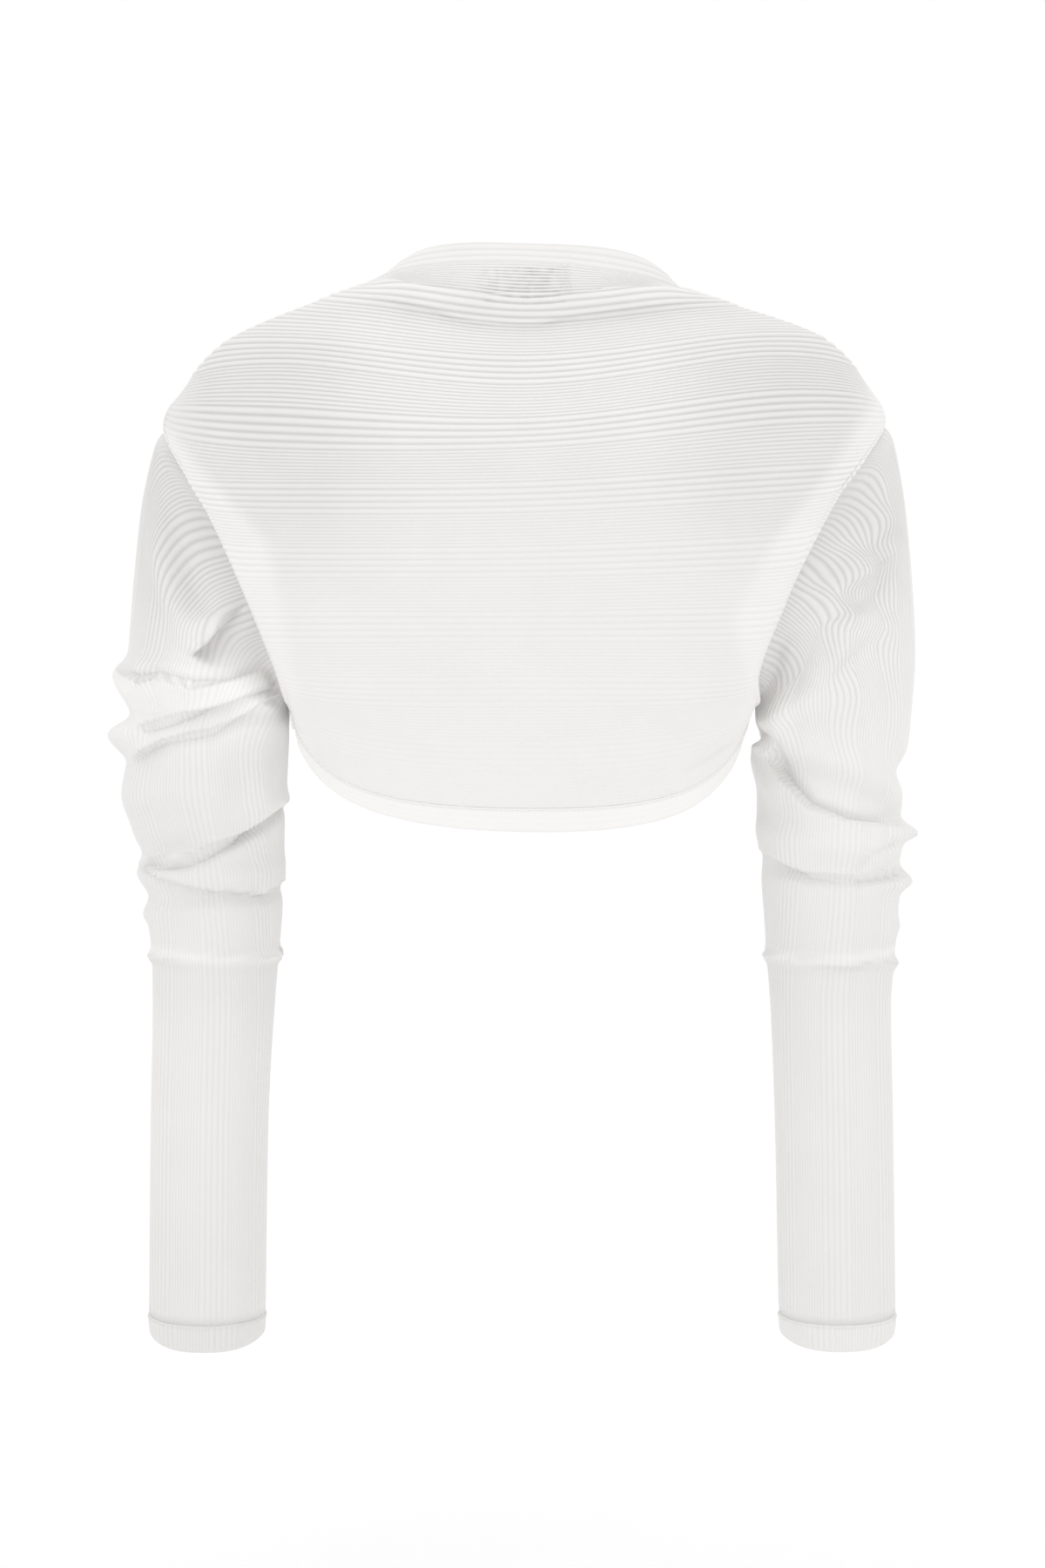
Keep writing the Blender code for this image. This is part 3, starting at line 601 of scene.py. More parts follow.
def through_five(values: Sequence[np.ndarray], u: np.ndarray) -> np.ndarray:
    """A smooth height through five even places from -1 to 1.

    Args:
        values: the five heights, as arrays.
        u: places from -1 to 1.

    Returns:
        The heights there.
    """
    ends = np.stack([2 * values[0] - values[1], *values, 2 * values[4] - values[3]])
    places = (u + 1.0) * 2.0
    i = np.clip(places.astype(int), 0, 3)
    t = places - i
    a, b, c, d = (np.take_along_axis(ends, (i + k)[None], 0)[0] for k in range(4))
    return 0.5 * (
        2 * b + (c - a) * t + (2 * a - 5 * b + 4 * c - d) * t**2 + (3 * b - a - 3 * c + d) * t**3
    )


# ------------------------------------------------------------------- creases


@dataclass(frozen=True)
class Crease:
    """A fold line on the cloth, with how the cloth stands above it and below it.

    The line runs from low x to high x, in millimetres seen from the back.
    """

    line: tuple[tuple[float, float], ...]
    above: float
    above_width: float
    below: float
    below_width: float
    edge: float = 1.0
    fade: float = 0.2
    hang: float = 0.0

    def bend(self, x: np.ndarray, z: np.ndarray) -> tuple[np.ndarray, np.ndarray]:
        """How the crease moves the cloth.

        Args:
            x: places across.
            z: and up.

        Returns:
            The lift outwards, and the move across and up that lets the cloth above hang over.
        """
        points = np.array(self.line, float)
        steps = np.diff(points, axis=0)
        lengths = np.hypot(steps[:, 0], steps[:, 1])
        starts = np.concatenate(((0.0,), np.cumsum(lengths)))[:-1] / lengths.sum()
        best = np.full(x.shape, 1e9)
        signed, along = np.zeros(x.shape), np.zeros(x.shape)
        up = np.zeros((*x.shape, 2))
        for (px, pz), (sx, sz), length, start in zip(points, steps, lengths, starts):
            t = np.clip(((x - px) * sx + (z - pz) * sz) / length**2, 0.0, 1.0)
            dx, dz = x - px - t * sx, z - pz - t * sz
            distance = np.hypot(dx, dz)
            nearer = distance < best
            best = np.where(nearer, distance, best)
            sign = np.where(sx * dz - sz * dx > 0, 1.0, -1.0)
            signed = np.where(nearer, sign * distance, signed)
            along = np.where(nearer, start + t * length / lengths.sum(), along)
            up[nearer] = (-sz / length, sx / length)
        over = 0.5 + 0.5 * np.tanh(signed / self.edge)
        top = self.above * bell(signed, 0.0, self.above_width)
        foot = self.below * bell(signed, 0.0, self.below_width)
        ends = np.sin(within(along, 0, 1, self.fade) * math.pi / 2)
        hung = self.hang * bell(signed, 0.0, self.above_width * 0.6) * (0.5 - 1.5 * over)
        return (over * top + (1.0 - over) * foot) * ends, up * (hung * ends)[..., None]


def creased(
    creases: Sequence[Crease], x: np.ndarray, z: np.ndarray
) -> tuple[np.ndarray, np.ndarray]:
    """The sum of some creases at some places.

    Args:
        creases: the creases.
        x: places across.
        z: and up.

    Returns:
        The lift outwards, and the move in space.
    """
    total, shift = np.zeros(x.shape), np.zeros((*x.shape, 3))
    for crease in creases:
        lift, move = crease.bend(x, z)
        total += lift
        shift[..., 0] += move[..., 0]
        shift[..., 2] += move[..., 1]
    return total, shift


# ------------------------------------------------------------------- shells


def grid_normals(points: np.ndarray, closed: bool, hint: np.ndarray) -> np.ndarray:
    """Unit normals of a grid of points.

    Args:
        points: rows by columns by three.
        closed: whether the columns run all round.
        hint: roughly the outward direction at the middle of the grid.

    Returns:
        The normals, all on the hint's side.
    """
    down = np.gradient(points, axis=0)
    if closed:
        across = np.roll(points, -1, axis=1) - np.roll(points, 1, axis=1)
    else:
        across = np.gradient(points, axis=1)
    normal = np.cross(across, down)
    normal /= np.maximum(np.linalg.norm(normal, axis=2, keepdims=True), 1e-9)
    row, column = points.shape[0] // 2, points.shape[1] // 2
    return normal if float(np.dot(normal[row, column], hint)) > 0 else -normal


def least_nearby(values: np.ndarray, reach: int, closed: bool) -> np.ndarray:
    """The least value within some rows and columns of each place."""
    least = values.copy()
    for axis in (0, 1):
        source = least.copy()
        for step in range(-reach, reach + 1):
            moved = np.roll(source, step, axis=axis)
            if step and not (closed and axis == 1):
                edge = [slice(None), slice(None)]
                edge[axis] = slice(0, step) if step > 0 else slice(step, None)
                moved[tuple(edge)] = source[tuple(edge)]
            least = np.minimum(least, moved)
    return least


@dataclass
class Shell:
    """A slim closed wall of cloth over a grid of points in millimetres.

    Its outer face has all the points, and its inner one every few rows and columns.
    The lift goes along the normals and the shift in any direction.  The measures that
    the wall stores are wale, the distance across the ribs; course, the one along them;
    rib, how high the ribs stand and how much shade is painted in their grooves; under,
    how much shows through from behind; and the painted shade, how much shade (below 0,
    light) is painted into the colour.
    """

    name: str
    points: np.ndarray
    wale: np.ndarray
    course: np.ndarray
    hint: np.ndarray
    lift: np.ndarray | float = 0.0
    rib: np.ndarray | float = 1.0
    under: np.ndarray | float = 0.0
    # shade painted into the colour; below 0 it paints light
    thin: np.ndarray | float = 1.0
    shift: np.ndarray | float = 0.0
    thick: float = 1.2
    closed: bool = False
    row_step: int = 4
    column_step: int = 1
    reach: int = 4

    @property
    def kept(self) -> tuple[list[int], list[int]]:
        """The rows and the columns that the inner face has."""
        rows, columns = (
            [*range(0, count - 1, step), count - 1]
            for count, step in zip(self.points.shape, (self.row_step, self.column_step))
        )
        if self.closed:
            columns = list(range(0, self.points.shape[1], self.column_step))
        return rows, columns

    def make(self) -> bpy.types.Object:
        """Builds the wall with its measures."""
        normal = grid_normals(self.points, self.closed, self.hint)
        lift = np.broadcast_to(np.asarray(self.lift, float), self.points.shape[:2])
        deepest = least_nearby(lift, self.reach, self.closed) if np.ptp(lift) > 0 else lift
        spots = self.points + self.shift
        outer = spots + normal * lift[..., None]
        inner = (spots + normal * (deepest - self.thick)[..., None])[np.ix_(*self.kept)]
        front = np.arange(lift.size).reshape(lift.shape)
        back = lift.size + np.arange(inner[..., 0].size).reshape(inner.shape[:2])
        faces = self._quads(front) + self._quads(back) + self._rims(front, back)
        mesh = bpy.data.meshes.new(self.name)
        everything = np.concatenate((outer.reshape(-1, 3), inner.reshape(-1, 3))) * MM
        mesh.from_pydata(everything.tolist(), [], faces)
        cloth = bmesh.new()
        cloth.from_mesh(mesh)
        bmesh.ops.recalc_face_normals(cloth, faces=cloth.faces[:])
        cloth.to_mesh(mesh)
        cloth.free()
        self._store(mesh)
        mesh.shade_smooth()
        return placed(self.name, mesh)

    def _quads(self, number: np.ndarray) -> list[tuple]:
        """Faces over a grid of vertex numbers."""
        if self.closed:
            number = np.concatenate((number, number[:, :1]), axis=1)
        corners = (number[:-1, :-1], number[1:, :-1], number[1:, 1:], number[:-1, 1:])
        return [tuple(quad) for quad in np.stack(corners, axis=-1).reshape(-1, 4).tolist()]

    def _rims(self, front: np.ndarray, back: np.ndarray) -> list[tuple]:
        """Faces that close the wall all round."""
        rows, columns = self.kept
        if self.closed:
            columns = [*columns, front.shape[1]]
            front, back = (np.concatenate((grid, grid[:, :1]), axis=1) for grid in (front, back))
        edges = [(front[end], back[end], columns) for end in (0, -1)]
        if not self.closed:
            edges += [(front[:, end], back[:, end], rows) for end in (0, -1)]
        return [face for edge in edges for face in self._rim(*edge)]

    def _rim(self, dense: np.ndarray, sparse: np.ndarray, kept: Sequence[int]) -> list[tuple]:
        """Faces between a dense edge and the sparser edge behind it."""
        dense, sparse = dense.tolist(), sparse.tolist()
        spans = zip(kept, kept[1:], sparse, sparse[1:])
        return [(first, *dense[start : end + 1], last) for start, end, first, last in spans]

    def _store(self, mesh: bpy.types.Mesh) -> None:
        """Stores the rib and stitch measures, the rib height, the label's tint and the painted shade on the
        vertices.
        """
        shape = self.points.shape[:2]
        stored = {}
        for name in ("wale", "course", "rib", "under", "thin"):
            outside = np.broadcast_to(np.asarray(getattr(self, name), float), shape)
            inside = outside[np.ix_(*self.kept)] * (0.0 if name == "rib" else 1.0)
            stored[name] = np.concatenate((outside.ravel(), inside.ravel()))
            data = stored[name].astype(np.float32)
            mesh.attributes.new(name, "FLOAT", "POINT").data.foreach_set("value", data)
        vertices = np.zeros(len(mesh.loops), np.int32)
        mesh.loops.foreach_get("vertex_index", vertices)
        across = np.stack((stored["course"], stored["wale"]), axis=1)[vertices] * MM
        flat = across.ravel().astype(np.float32)
        mesh.uv_layers.new(name="UVMap").data.foreach_set("uv", flat)


@dataclass
class Cut:
    """How a piece was cut, in metres, and how it is held."""

    width: float
    length: float
    held: str
    rests_on: tuple[str, ...]
    area: float | None = None


def seat(piece: bpy.types.Object, node: str) -> None:
    """Hangs a cloth piece from the root in place of the solid that it stands for.

    Args:
        piece: the finished cloth.
        node: the solid that it replaces.
    """
    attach(piece, "root")
    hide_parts(node)
    LOG.info("%s: %d faces", piece.name, len(piece.data.polygons))


@dataclass(frozen=True)
class Cloth:
    """One cloth: its material, a slot name and the height of its ribs."""

    material: bpy.types.Material
    slot: str
    rib_share: float = 1.0


@dataclass(frozen=True)
class Workroom:
    """What all the pieces are made with: the tree that raises ribs and the two cloths."""

    relief: ReliefTree
    knit: Cloth
    hem: Cloth

    def dress(self, shell: Shell, cloth: Cloth, cut: Cut) -> None:
        """Builds a shell, raises its ribs and hangs it from the root in place of the node that it is named
        for.
        """
        piece = shell.make()
        self.relief.raise_on(piece, cloth.material, cloth.rib_share)
        seat(piece, shell.name.removesuffix("_cloth"))


# ------------------------------------------------------------------- the torso


@dataclass
class TorsoForm:
    """The form of the back and the fronts, from the same tables as the solids.

    The two angles say where the armhole, gone round from its outer point, leaves the
    back and reaches the front.
    """

    plan_power: float = 2.6
    fullness: float = 9.0
    back_columns: tuple[str, ...] = (
        "centre", "depth", "lx", "lz", "lm", "rx", "rz", "rm",
        "turn", "radius", "heading", "run", "rise",
    )
    back_rows: tuple[tuple[float, ...], ...] = (
        (28.9, 50, 81.5, 9.6, 27.4, 91.0, 1.6, 23.6, 1.00, 9, 104, 3, 0),
        (14.9, 56, 93.4, 7.6, 14.2, 102.0, -0.6, 8.6, 1.00, 9, 106, 3, 0),
        (-4.0, 62, 103.0, 6.4, 5.1, 112.0, -1.6, 2.5, 1.00, 9, 108, 3, 0),
        (-13.5, 70, 113.5, 4.2, -3.0, 121.5, -1.8, -5.0, 1.00, 9, 109, 3, 0),
        (-22.0, 67, 127.5, -1.0, -10.3, 131.5, -4.5, -12.2, 1.00, 9, 110, 3, 0),
        (-42.0, 76, 182.0, -26.0, -30.6, 180.0, -23.0, -27.4, 1.00, 9, 112, 3, 0),
        (-60.0, 85, 203.2, -49.5, -46.4, 203.0, -46.5, -41.8, 1.00, 9, 114, 3, 0),
        (-95.9, 94, 217.6, -80.0, -94.5, 216.6, -76.0, -80.6, 0.97, 8, 125, 4, 0),
        (-116.0, 97, 202.0, -111.5, -116.0, 203.5, -99.5, -106.0, 0.90, 5.5, 156, 6, 0),
        (-138.0, 99, 188.5, -134.1, -138.4, 187.0, -122.5, -130.5, 0.84, 5.5, 172, 9, 0),
        (-192.1, 99, 162.6, -191.2, -191.9, 154.8, -186.1, -189.9, 0.78, 5, 180, 10, 0),
        (-238.0, 95, 146.5, -233.0, -238.0, 138.5, -233.0, -238.0, 0.80, 7, 152, 12, 0),
        (-264.0, 92, 143.5, -244.0, -260.0, 140.0, -244.0, -259.0, 0.84, 7, 104, 62, 3),
        (-308.5, 87, 140.5, -251.0, -296.5, 135.0, -251.5, -298.0, 0.88, 7, 94, 80, 6),
        (-322.6, 85, 139.0, -261.5, -308.0, 132.0, -263.0, -311.5, 0.88, 7, 94, 80, 6),
    )
    opening_rows: tuple[tuple[float, ...], ...] = (
        (0.00, 96, 6, 11),
        (0.12, 105, 36, -12),
        (0.28, 113, 60, -55),
        (0.45, 120, 73, -105),
        (0.62, 127, 78, -155),
        (0.79, 133, 74, -205),
        (0.92, 138, 58, -240),
        (1.00, 139, 38, -252),
    )
    armhole_rows: tuple[tuple[float, ...], ...] = (
        (0.00, 218, 6, -80),
        (0.12, 213, 28, -96),
        (0.28, 203, 47, -120),
        (0.45, 190, 60, -150),
        (0.62, 174, 66, -180),
        (0.79, 158, 66, -210),
        (0.92, 146, 54, -232),
        (1.00, 140, 38, -243),
    )
    neck_edge: float = 28.9
    neck_seam: float = 14.9
    sleeve_point: float = -95.9
    underarm: float = -238.0
    underarm_turn: float = -264.0
    hem_seam: float = -308.5
    hem_edge: float = -322.6
    back_until: float = 145.0
    front_from: float = 215.0
    halvings: int = 18
    _shoulder: dict = field(default_factory=dict, repr=False)

    def __post_init__(self) -> None:
        """Reads the tables as smooth curves."""
        self.back = Track(self.back_columns, self.back_rows)
        front = ("share", "out", "forward", "height")
        self.opening = Track(front, self.opening_rows)
        self.armhole = Track(front, self.armhole_rows)
        self.strip_end = self.hem_seam + 0.6 * (self.underarm_turn - self.hem_seam)

    def _slope(self, ratio: np.ndarray, share: np.ndarray) -> np.ndarray:
        """The angle of the plan curve from straight across, at a share of its half width."""
        power = self.plan_power
        rest = 1.0 - share**power
        return np.arctan(ratio * share ** (power - 1) * rest ** (1.0 / power - 1.0))

    def back_point(self, column: np.ndarray, height: np.ndarray) -> np.ndarray:
        """Points of the back.

        Args:
            column: -1 to 1 between the side folds, and 1 to 2 round them.
            height: of the row at the centre line.

        Returns:
            The points.
        """
        column, height = np.broadcast_arrays(np.asarray(column, float), np.asarray(height, float))
        row = self.back.at(height)
        side = np.where(column < 0, -1.0, 1.0)
        end_x = np.where(column < 0, row["lx"], row["rx"])
        reach, radius, depth = end_x / row["turn"], row["radius"], row["depth"]
        near, far = end_x - radius, end_x.copy()
        for _ in range(self.halvings):
            start = (near + far) / 2
            slope = self._slope(depth / reach, np.minimum(start / reach, 0.9995))
            short = start - radius * np.sin(slope) < end_x - radius
            near, far = np.where(short, start, near), np.where(short, far, start)
        arc = radius * (np.radians(row["heading"]) - slope)
        u = np.clip(column, -1.0, 1.0)
        out = start * np.sin(np.abs(u) * math.pi / 2)
        share = np.minimum(1.0, out / reach)
        back = depth * (1.0 - share**self.plan_power) ** (1.0 / self.plan_power)
        heights = (row["lz"], row["lm"], row["centre"], row["rm"], row["rz"])
        z = through_five(heights, u)
        travel = np.maximum(0.0, np.abs(column) - 1.0) * (arc + row["run"])
        turned = slope + np.minimum(travel, arc) / radius
        straight = np.maximum(0.0, travel - arc)
        fold_x = out - radius * np.sin(slope) + radius * np.sin(turned) + straight * np.cos(turned)
        fold_y = -back + radius * np.cos(slope) - radius * np.cos(turned) + straight * np.sin(turned)
        past = np.abs(column) > 1.0
        x, y = np.where(past, fold_x, out), np.where(past, fold_y, -back)
        z = z + np.where(past, row["rise"] * (straight / row["run"]) ** 2, 0.0)
        return np.stack((side * x, y, z), axis=-1)

    def cloth_end(self, side: int, heights: np.ndarray) -> np.ndarray:
        """Points along the end of the back's cloth, past its side fold."""
        return self.back_point(np.full(heights.shape, 2.0 * side), heights)

    def _shoulder_line(self, side: int, share: np.ndarray) -> np.ndarray:
        """The seam over the shoulder, from the neck band to the top of the sleeve."""
        if side not in self._shoulder:
            heights = np.linspace(self.neck_seam, self.sleeve_point, 33)
            steps = np.linalg.norm(np.diff(self.cloth_end(side, heights), axis=0), axis=1)
            run = np.concatenate(((0.0,), np.cumsum(steps))) / steps.sum()
            self._shoulder[side] = (run, heights)
        return self.cloth_end(side, np.interp(share, *self._shoulder[side]))

    def _laid(self, side: int, across: np.ndarray, down: np.ndarray) -> np.ndarray:
        """Points straight between the opening line and the armhole line."""
        opening, armhole = (
            np.stack((side * row["out"], row["forward"], row["height"]), axis=-1)
            for row in (self.opening.at(down), self.armhole.at(down))
        )
        return opening + (armhole - opening) * across[..., None]

    def front_point(self, side: int, across: np.ndarray, down: np.ndarray) -> np.ndarray:
        """Points of a front.

        Args:
            side: -1 or 1.
            across: from the opening (0) to the sleeve (1).
            down: from the shoulder (0) to the underarm (1).

        Returns:
            The points.
        """
        across, down = np.broadcast_arrays(np.asarray(across, float), np.asarray(down, float))
        across_in, down_in = np.clip(across, 0, 1), np.clip(down, 0, 1)
        top, foot = (self._laid(side, across, np.full_like(down, end)) for end in (0.0, 1.0))
        shoulder = self._shoulder_line(side, across_in)
        underarm = self.cloth_end(side, self.hem_seam + across_in * (self.strip_end - self.hem_seam))
        swell = self.fullness * np.sin(math.pi * across_in) * np.sin(math.pi * down_in**0.8) ** 2
        fixed = self._laid(side, across, down)
        fixed = fixed + (shoulder - top) * (1 - down_in[..., None]) ** 2
        fixed = fixed + (underarm - foot) * down_in[..., None] ** 5
        return fixed + np.stack((0 * swell, swell, 0 * swell), axis=-1)

    def armhole_point(self, side: int, angle: np.ndarray) -> np.ndarray:
        """The seam between body and sleeve: back, underarm strip, then up the front."""
        angle = np.asarray(angle, float) % 360.0
        share = np.clip(angle / self.back_until, 0, 1)
        strip = rise(angle, self.back_until, self.front_from - self.back_until)
        down = self.sleeve_point + share * (self.underarm - self.sleeve_point)
        below = self.underarm + strip * (self.strip_end - self.underarm)
        back = self.cloth_end(side, np.where(angle > self.back_until, below, down))
        up = rise(angle, self.front_from, 360.0 - self.front_from)
        front = self.front_point(side, np.ones_like(angle), 1.0 - up)
        return np.where((angle < self.front_from)[..., None], back, front)


BACK_CREASES = (
    Crease(((-90, 9.5), (-72, 4.5), (-49, -0.8), (-29, -5.2), (-22, -3.9), (-2, -2.7), (15, -3.6),
            (26, -5.2), (33, -3.7), (51, 0.4), (68, 1.1), (99, 2.3)), -2.4, 7, 2.1, 6, edge=0.7, fade=0.12),
    Crease(((-92, -4), (-58, -11.5), (-31, -21.0), (4, -22.2), (39, -15.0), (97, -7.5)),
           1.5, 6, -1.9, 4.5, edge=1.0, fade=0.2),
    Crease(((25.4, 0.5), (25.9, 13), (26.6, 27)), 0.9, 1.3, 0.9, 1.3, edge=0.5, fade=0.08),
    Crease(((94, -290.5), (112, -279.7), (128, -270)), -2.2, 3.0, -0.6, 5, edge=1.5, fade=0.3),
)


@dataclass
class BackPanel:
    """The back with its neck band, its hem band and the label inside the neck.

    The two "doubled" tables give, by height, how far in the side folds lie behind it; light is painted into
    the colour there.
    """

    form: TorsoForm
    gauge: RibGauge
    centre_steps: int = 72
    fold_places: tuple[float, ...] = (
        0.03, 0.06, 0.09, 0.12, 0.16, 0.20, 0.26, 0.32, 0.39, 0.46, 0.53, 0.60, 0.68, 0.76, 0.84, 0.92, 1.0,
    )
    gap: float = 0.9
    band_gap: float = 0.3
    seam_gap: float = 0.05
    hem_rib_share: float = 0.16
    label_depth: float = 2.1
    label_puff: float = 0.25
    stitch_drop: float = 1.2
    stitch_lift: float = 0.62
    label_box: tuple[float, float, float, float] = (-28.0, 24.0, -3.0, 13.0)
    left_doubled: tuple[tuple[float, float], ...] = (
        (-290, -118), (-217, -134), (-152, -147), (-125, -171), (-73, -217),
    )
    right_doubled: tuple[tuple[float, float], ...] = (
        (-290, 112), (-236, 127), (-199, 118), (-157, 137), (-110, 174), (-68, 202),
    )
    hint: tuple[float, float, float] = (0.0, -1.0, 0.0)

    def columns(self) -> np.ndarray:
        """Columns from the left end of the cloth to its right end."""
        across = np.linspace(-1, 1, self.centre_steps + 1)
        past = 1.0 + np.array(self.fold_places)
        return np.concatenate((-past[::-1], across, past))

    def heights(self, top: float, foot: float, steps: tuple[int, int] = (6, 4)) -> np.ndarray:
        """Row heights between two ends that follow every rib."""
        gauge = self.gauge
        places = gauge.stations(*steps)
        first = gauge.start - gauge.repeat * 12
        every = np.concatenate([first + gauge.repeat * k + places for k in range(15)])
        least = gauge.fine_pitch / steps[1] * 0.5
        inside = every[(every < top - least) & (every > foot + least)]
        return np.concatenate(((foot,), inside, (top,)))[::-1]

    def grid(self, heights: np.ndarray, clear: float) -> tuple[np.ndarray, np.ndarray, np.ndarray]:
        """Points of the back over all columns, short of its ends by a clear space.

        Args:
            heights: of the rows.
            clear: distance from the end of the cloth.

        Returns:
            The points, the columns and the heights, each as a grid.
        """
        columns, rows = np.meshgrid(self.columns(), heights)
        end = np.abs(columns) >= 2.0
        row = self.form.back.at(rows)
        length = row["radius"] * 1.7 + row["run"]
        columns = np.where(end, np.sign(columns) * (2.0 - clear / length), columns)
        return self.form.back_point(columns, rows), columns, rows

    def course(self, points: np.ndarray) -> np.ndarray:
        """Distance along each row from the centre line, for the stitches."""
        steps = np.linalg.norm(np.diff(points, axis=1), axis=2)
        run = np.concatenate((np.zeros((len(points), 1)), np.cumsum(steps, axis=1)), axis=1)
        return run - run[:, run.shape[1] // 2][:, None]

    def creased(self, points: np.ndarray, columns: np.ndarray) -> tuple[np.ndarray, np.ndarray]:
        """The lift and the move of the back's creases, which end at the side folds."""
        lift, shift = creased(BACK_CREASES, points[..., 0], points[..., 2])
        inside = fall(np.abs(columns), 1.02, 0.06)
        return lift * inside, shift * inside[..., None]

    def stretch(self, points: np.ndarray, rows: np.ndarray) -> np.ndarray:
        """How high the ribs stand: full over the shoulders, flatter below and in the middle."""
        x = points[..., 0]
        low, middle_back, shoulders = rise(rows, -285, 40), rise(rows, -230, 60), rise(rows, -160, 80)
        high = 0.14 + 0.16 * low + 0.3 * middle_back + shoulders
        middle = 0.28 * bell(x, 0.0, 70.0) * fall(rows, -60, 60)
        corner = 0.65 * rise(np.abs(x), 190, 22)
        return high * (1.0 - middle) * (1 - corner)

    def thin(self, points: np.ndarray) -> np.ndarray:
        """How much shade is painted into the colour: more on the flanks, and less, as painted light, where
        the cloth lies double, low down and at the neck.
        """
        x, z = points[..., 0], points[..., 2]
        left, right = (np.interp(z, *zip(*rows)) for rows in (self.left_doubled, self.right_doubled))
        doubled = fall(x, left, 10.0) + rise(x, right, 10.0)
        flank = rise(np.abs(x), 70, 50) * rise(z, -190, 50) * fall(z, -20, 30)
        upper = rise(z, -110, 40) * fall(np.abs(x), 150, 60) * fall(z, -10, 15)
        low, at_neck = fall(z, -170, 110), rise(z, -12, 12)
        less = 0.15 * low + (0.9 * upper + 1.2 * at_neck)
        return 0.7 - less + (0.9 * flank) * (1 - doubled) - (0.9 - 0.5 * less) * doubled

    def under(self, points: np.ndarray) -> np.ndarray:
        """How much of the dark label shows through the cloth of the back neck."""
        left, right, foot, top = self.label_box
        x, y, z = (points[..., k] for k in range(3))
        soft = 1.2
        inside = np.clip((x - left) / 6 + 0.5, 0, 1) * np.clip((right - x) / soft + 0.5, 0, 1)
        upper = fall(z, top + 1, soft) * rise(z, foot, soft)
        lower = 0.7 * fall(z, foot - 1.5, soft) * rise(z, foot - 8.0, 2.0)
        side = 0.55 + 0.45 * rise(x, left, 24)
        return inside * side * np.clip(upper + lower, 0, 1) * (y < -20)

    def make(self, room: Workroom) -> None:
        """Builds the back and its two bands."""
        form, near = self.form, self.seam_gap
        heights = self.heights(form.neck_seam - near, form.hem_seam + near)
        points, columns, rows = self.grid(heights, self.gap)
        lift, shift = self.creased(points, columns)
        at_seams, at_ends = within(rows, heights[-1], heights[0], 1.2), fall(np.abs(columns), 1.9, 0.3)
        shell = Shell(
            "back_cloth", points, rows - self.gauge.start, self.course(points), np.array(self.hint),
            lift=lift, shift=shift, rib=at_seams * at_ends * self.stretch(points, rows),
            under=self.under(points), thin=self.thin(points),
        )
        cut = Cut(0.62, 0.335, "draped", ("neck_band", "left_sleeve", "right_sleeve"), area=0.165)
        room.dress(shell, room.knit, cut)
        self._band(room, "neck_band", form.neck_edge, form.neck_seam + near)
        self._band(room, "hem_band", form.hem_edge, form.hem_seam - near)

    def _band(self, room: Workroom, node: str, fold: float, seam: float) -> None:
        """Builds one turned band.

        Args:
            room: what it is made with.
            node: the node's name.
            fold: the height of its fold at the centre line.
            seam: the height of its seam there.
        """
        at_neck = fold > seam
        points, columns, rows = self.grid(self.heights(max(fold, seam), min(fold, seam)), self.band_gap)
        from_fold, from_seam = np.abs(rows - fold), np.abs(rows - seam)
        rib = np.clip(from_fold / 1.5, 0, 1) * np.clip(from_seam / 0.8, 0, 1)
        rib = rib * fall(np.abs(columns), 1.97, 0.1) * (1.0 if at_neck else self.hem_rib_share)
        step = BAND_STEP * np.clip(from_seam / 1.2, 0.15, 1)
        # The neck band gets a little painted shade, the hem band painted light.
        shell = Shell(
            f"{node}_cloth", points, rows - self.gauge.start, self.course(points), np.array(self.hint),
            lift=step + self.creased(points, columns)[0] - rounded_off(from_fold), rib=rib,
            under=self.under(points) if at_neck else 0.0, thin=0.3 if at_neck else -0.6,
            thick=1.9, row_step=3, reach=0,
        )
        length = 0.245 if at_neck else 0.46
        room.dress(shell, room.hem, Cut(0.03, length, "folded", ("back",), area=0.03 * length * 0.5))

    def make_label(self, cloth: bpy.types.Material) -> None:
        """Builds the bare label on the inner face of the back neck."""
        left, right, foot, top = self.label_box
        places, heights = np.linspace(left, right, 60), np.linspace(top, foot, 33)
        middle = self.form.back.at(np.array(0.0))
        half = np.where(places < 0, middle["lx"], middle["rx"])
        columns = np.sign(places) * np.arcsin(np.abs(places) / half) * 2 / math.pi
        points = self.form.back_point(*np.meshgrid(columns, heights))
        across, rows = np.meshgrid(places, heights)
        from_sides = np.minimum(np.abs(across - left), np.abs(right - across))
        edge = np.minimum(np.minimum(np.abs(rows - top), np.abs(rows - foot)), from_sides)
        puff = self.label_puff * np.clip(edge / 1.5, 0, 1)
        crease, _ = creased(BACK_CREASES, points[..., 0], points[..., 2])
        shell = Shell(
            "label_cloth", points, rows, across, np.array(self.hint),
            lift=np.minimum(crease, 0.0) - self.label_depth - puff, rib=0.0, thick=0.7, reach=0,
        )
        piece = shell.make()
        piece.data.materials.append(cloth)
        seat(piece, "label")

    def hem_lines(self) -> dict[str, list[np.ndarray]]:
        """Lines that the rows of stitches follow along the bands and beside the label."""
        columns = np.linspace(-1.25, 1.25, 240)
        rows = {
            "neck_stitches": self.form.neck_seam + self.stitch_drop,
            "hem_stitches": self.form.hem_seam - self.stitch_drop,
        }
        lines = {
            name: [self.outside(columns, np.full(columns.size, z), self.stitch_lift)]
            for name, z in rows.items()
        }
        _, right, foot, top = self.label_box
        upright = np.linspace(top + 2, foot, 12)
        half = float(self.form.back.at(np.array(0.0))["rx"])
        beside = [math.asin((right + step) / half) * 2 / math.pi for step in (0.5, 3.2)]
        lines["label_stitches"] = [self.outside(np.full(12, c), upright, 0.45) for c in beside]
        return lines

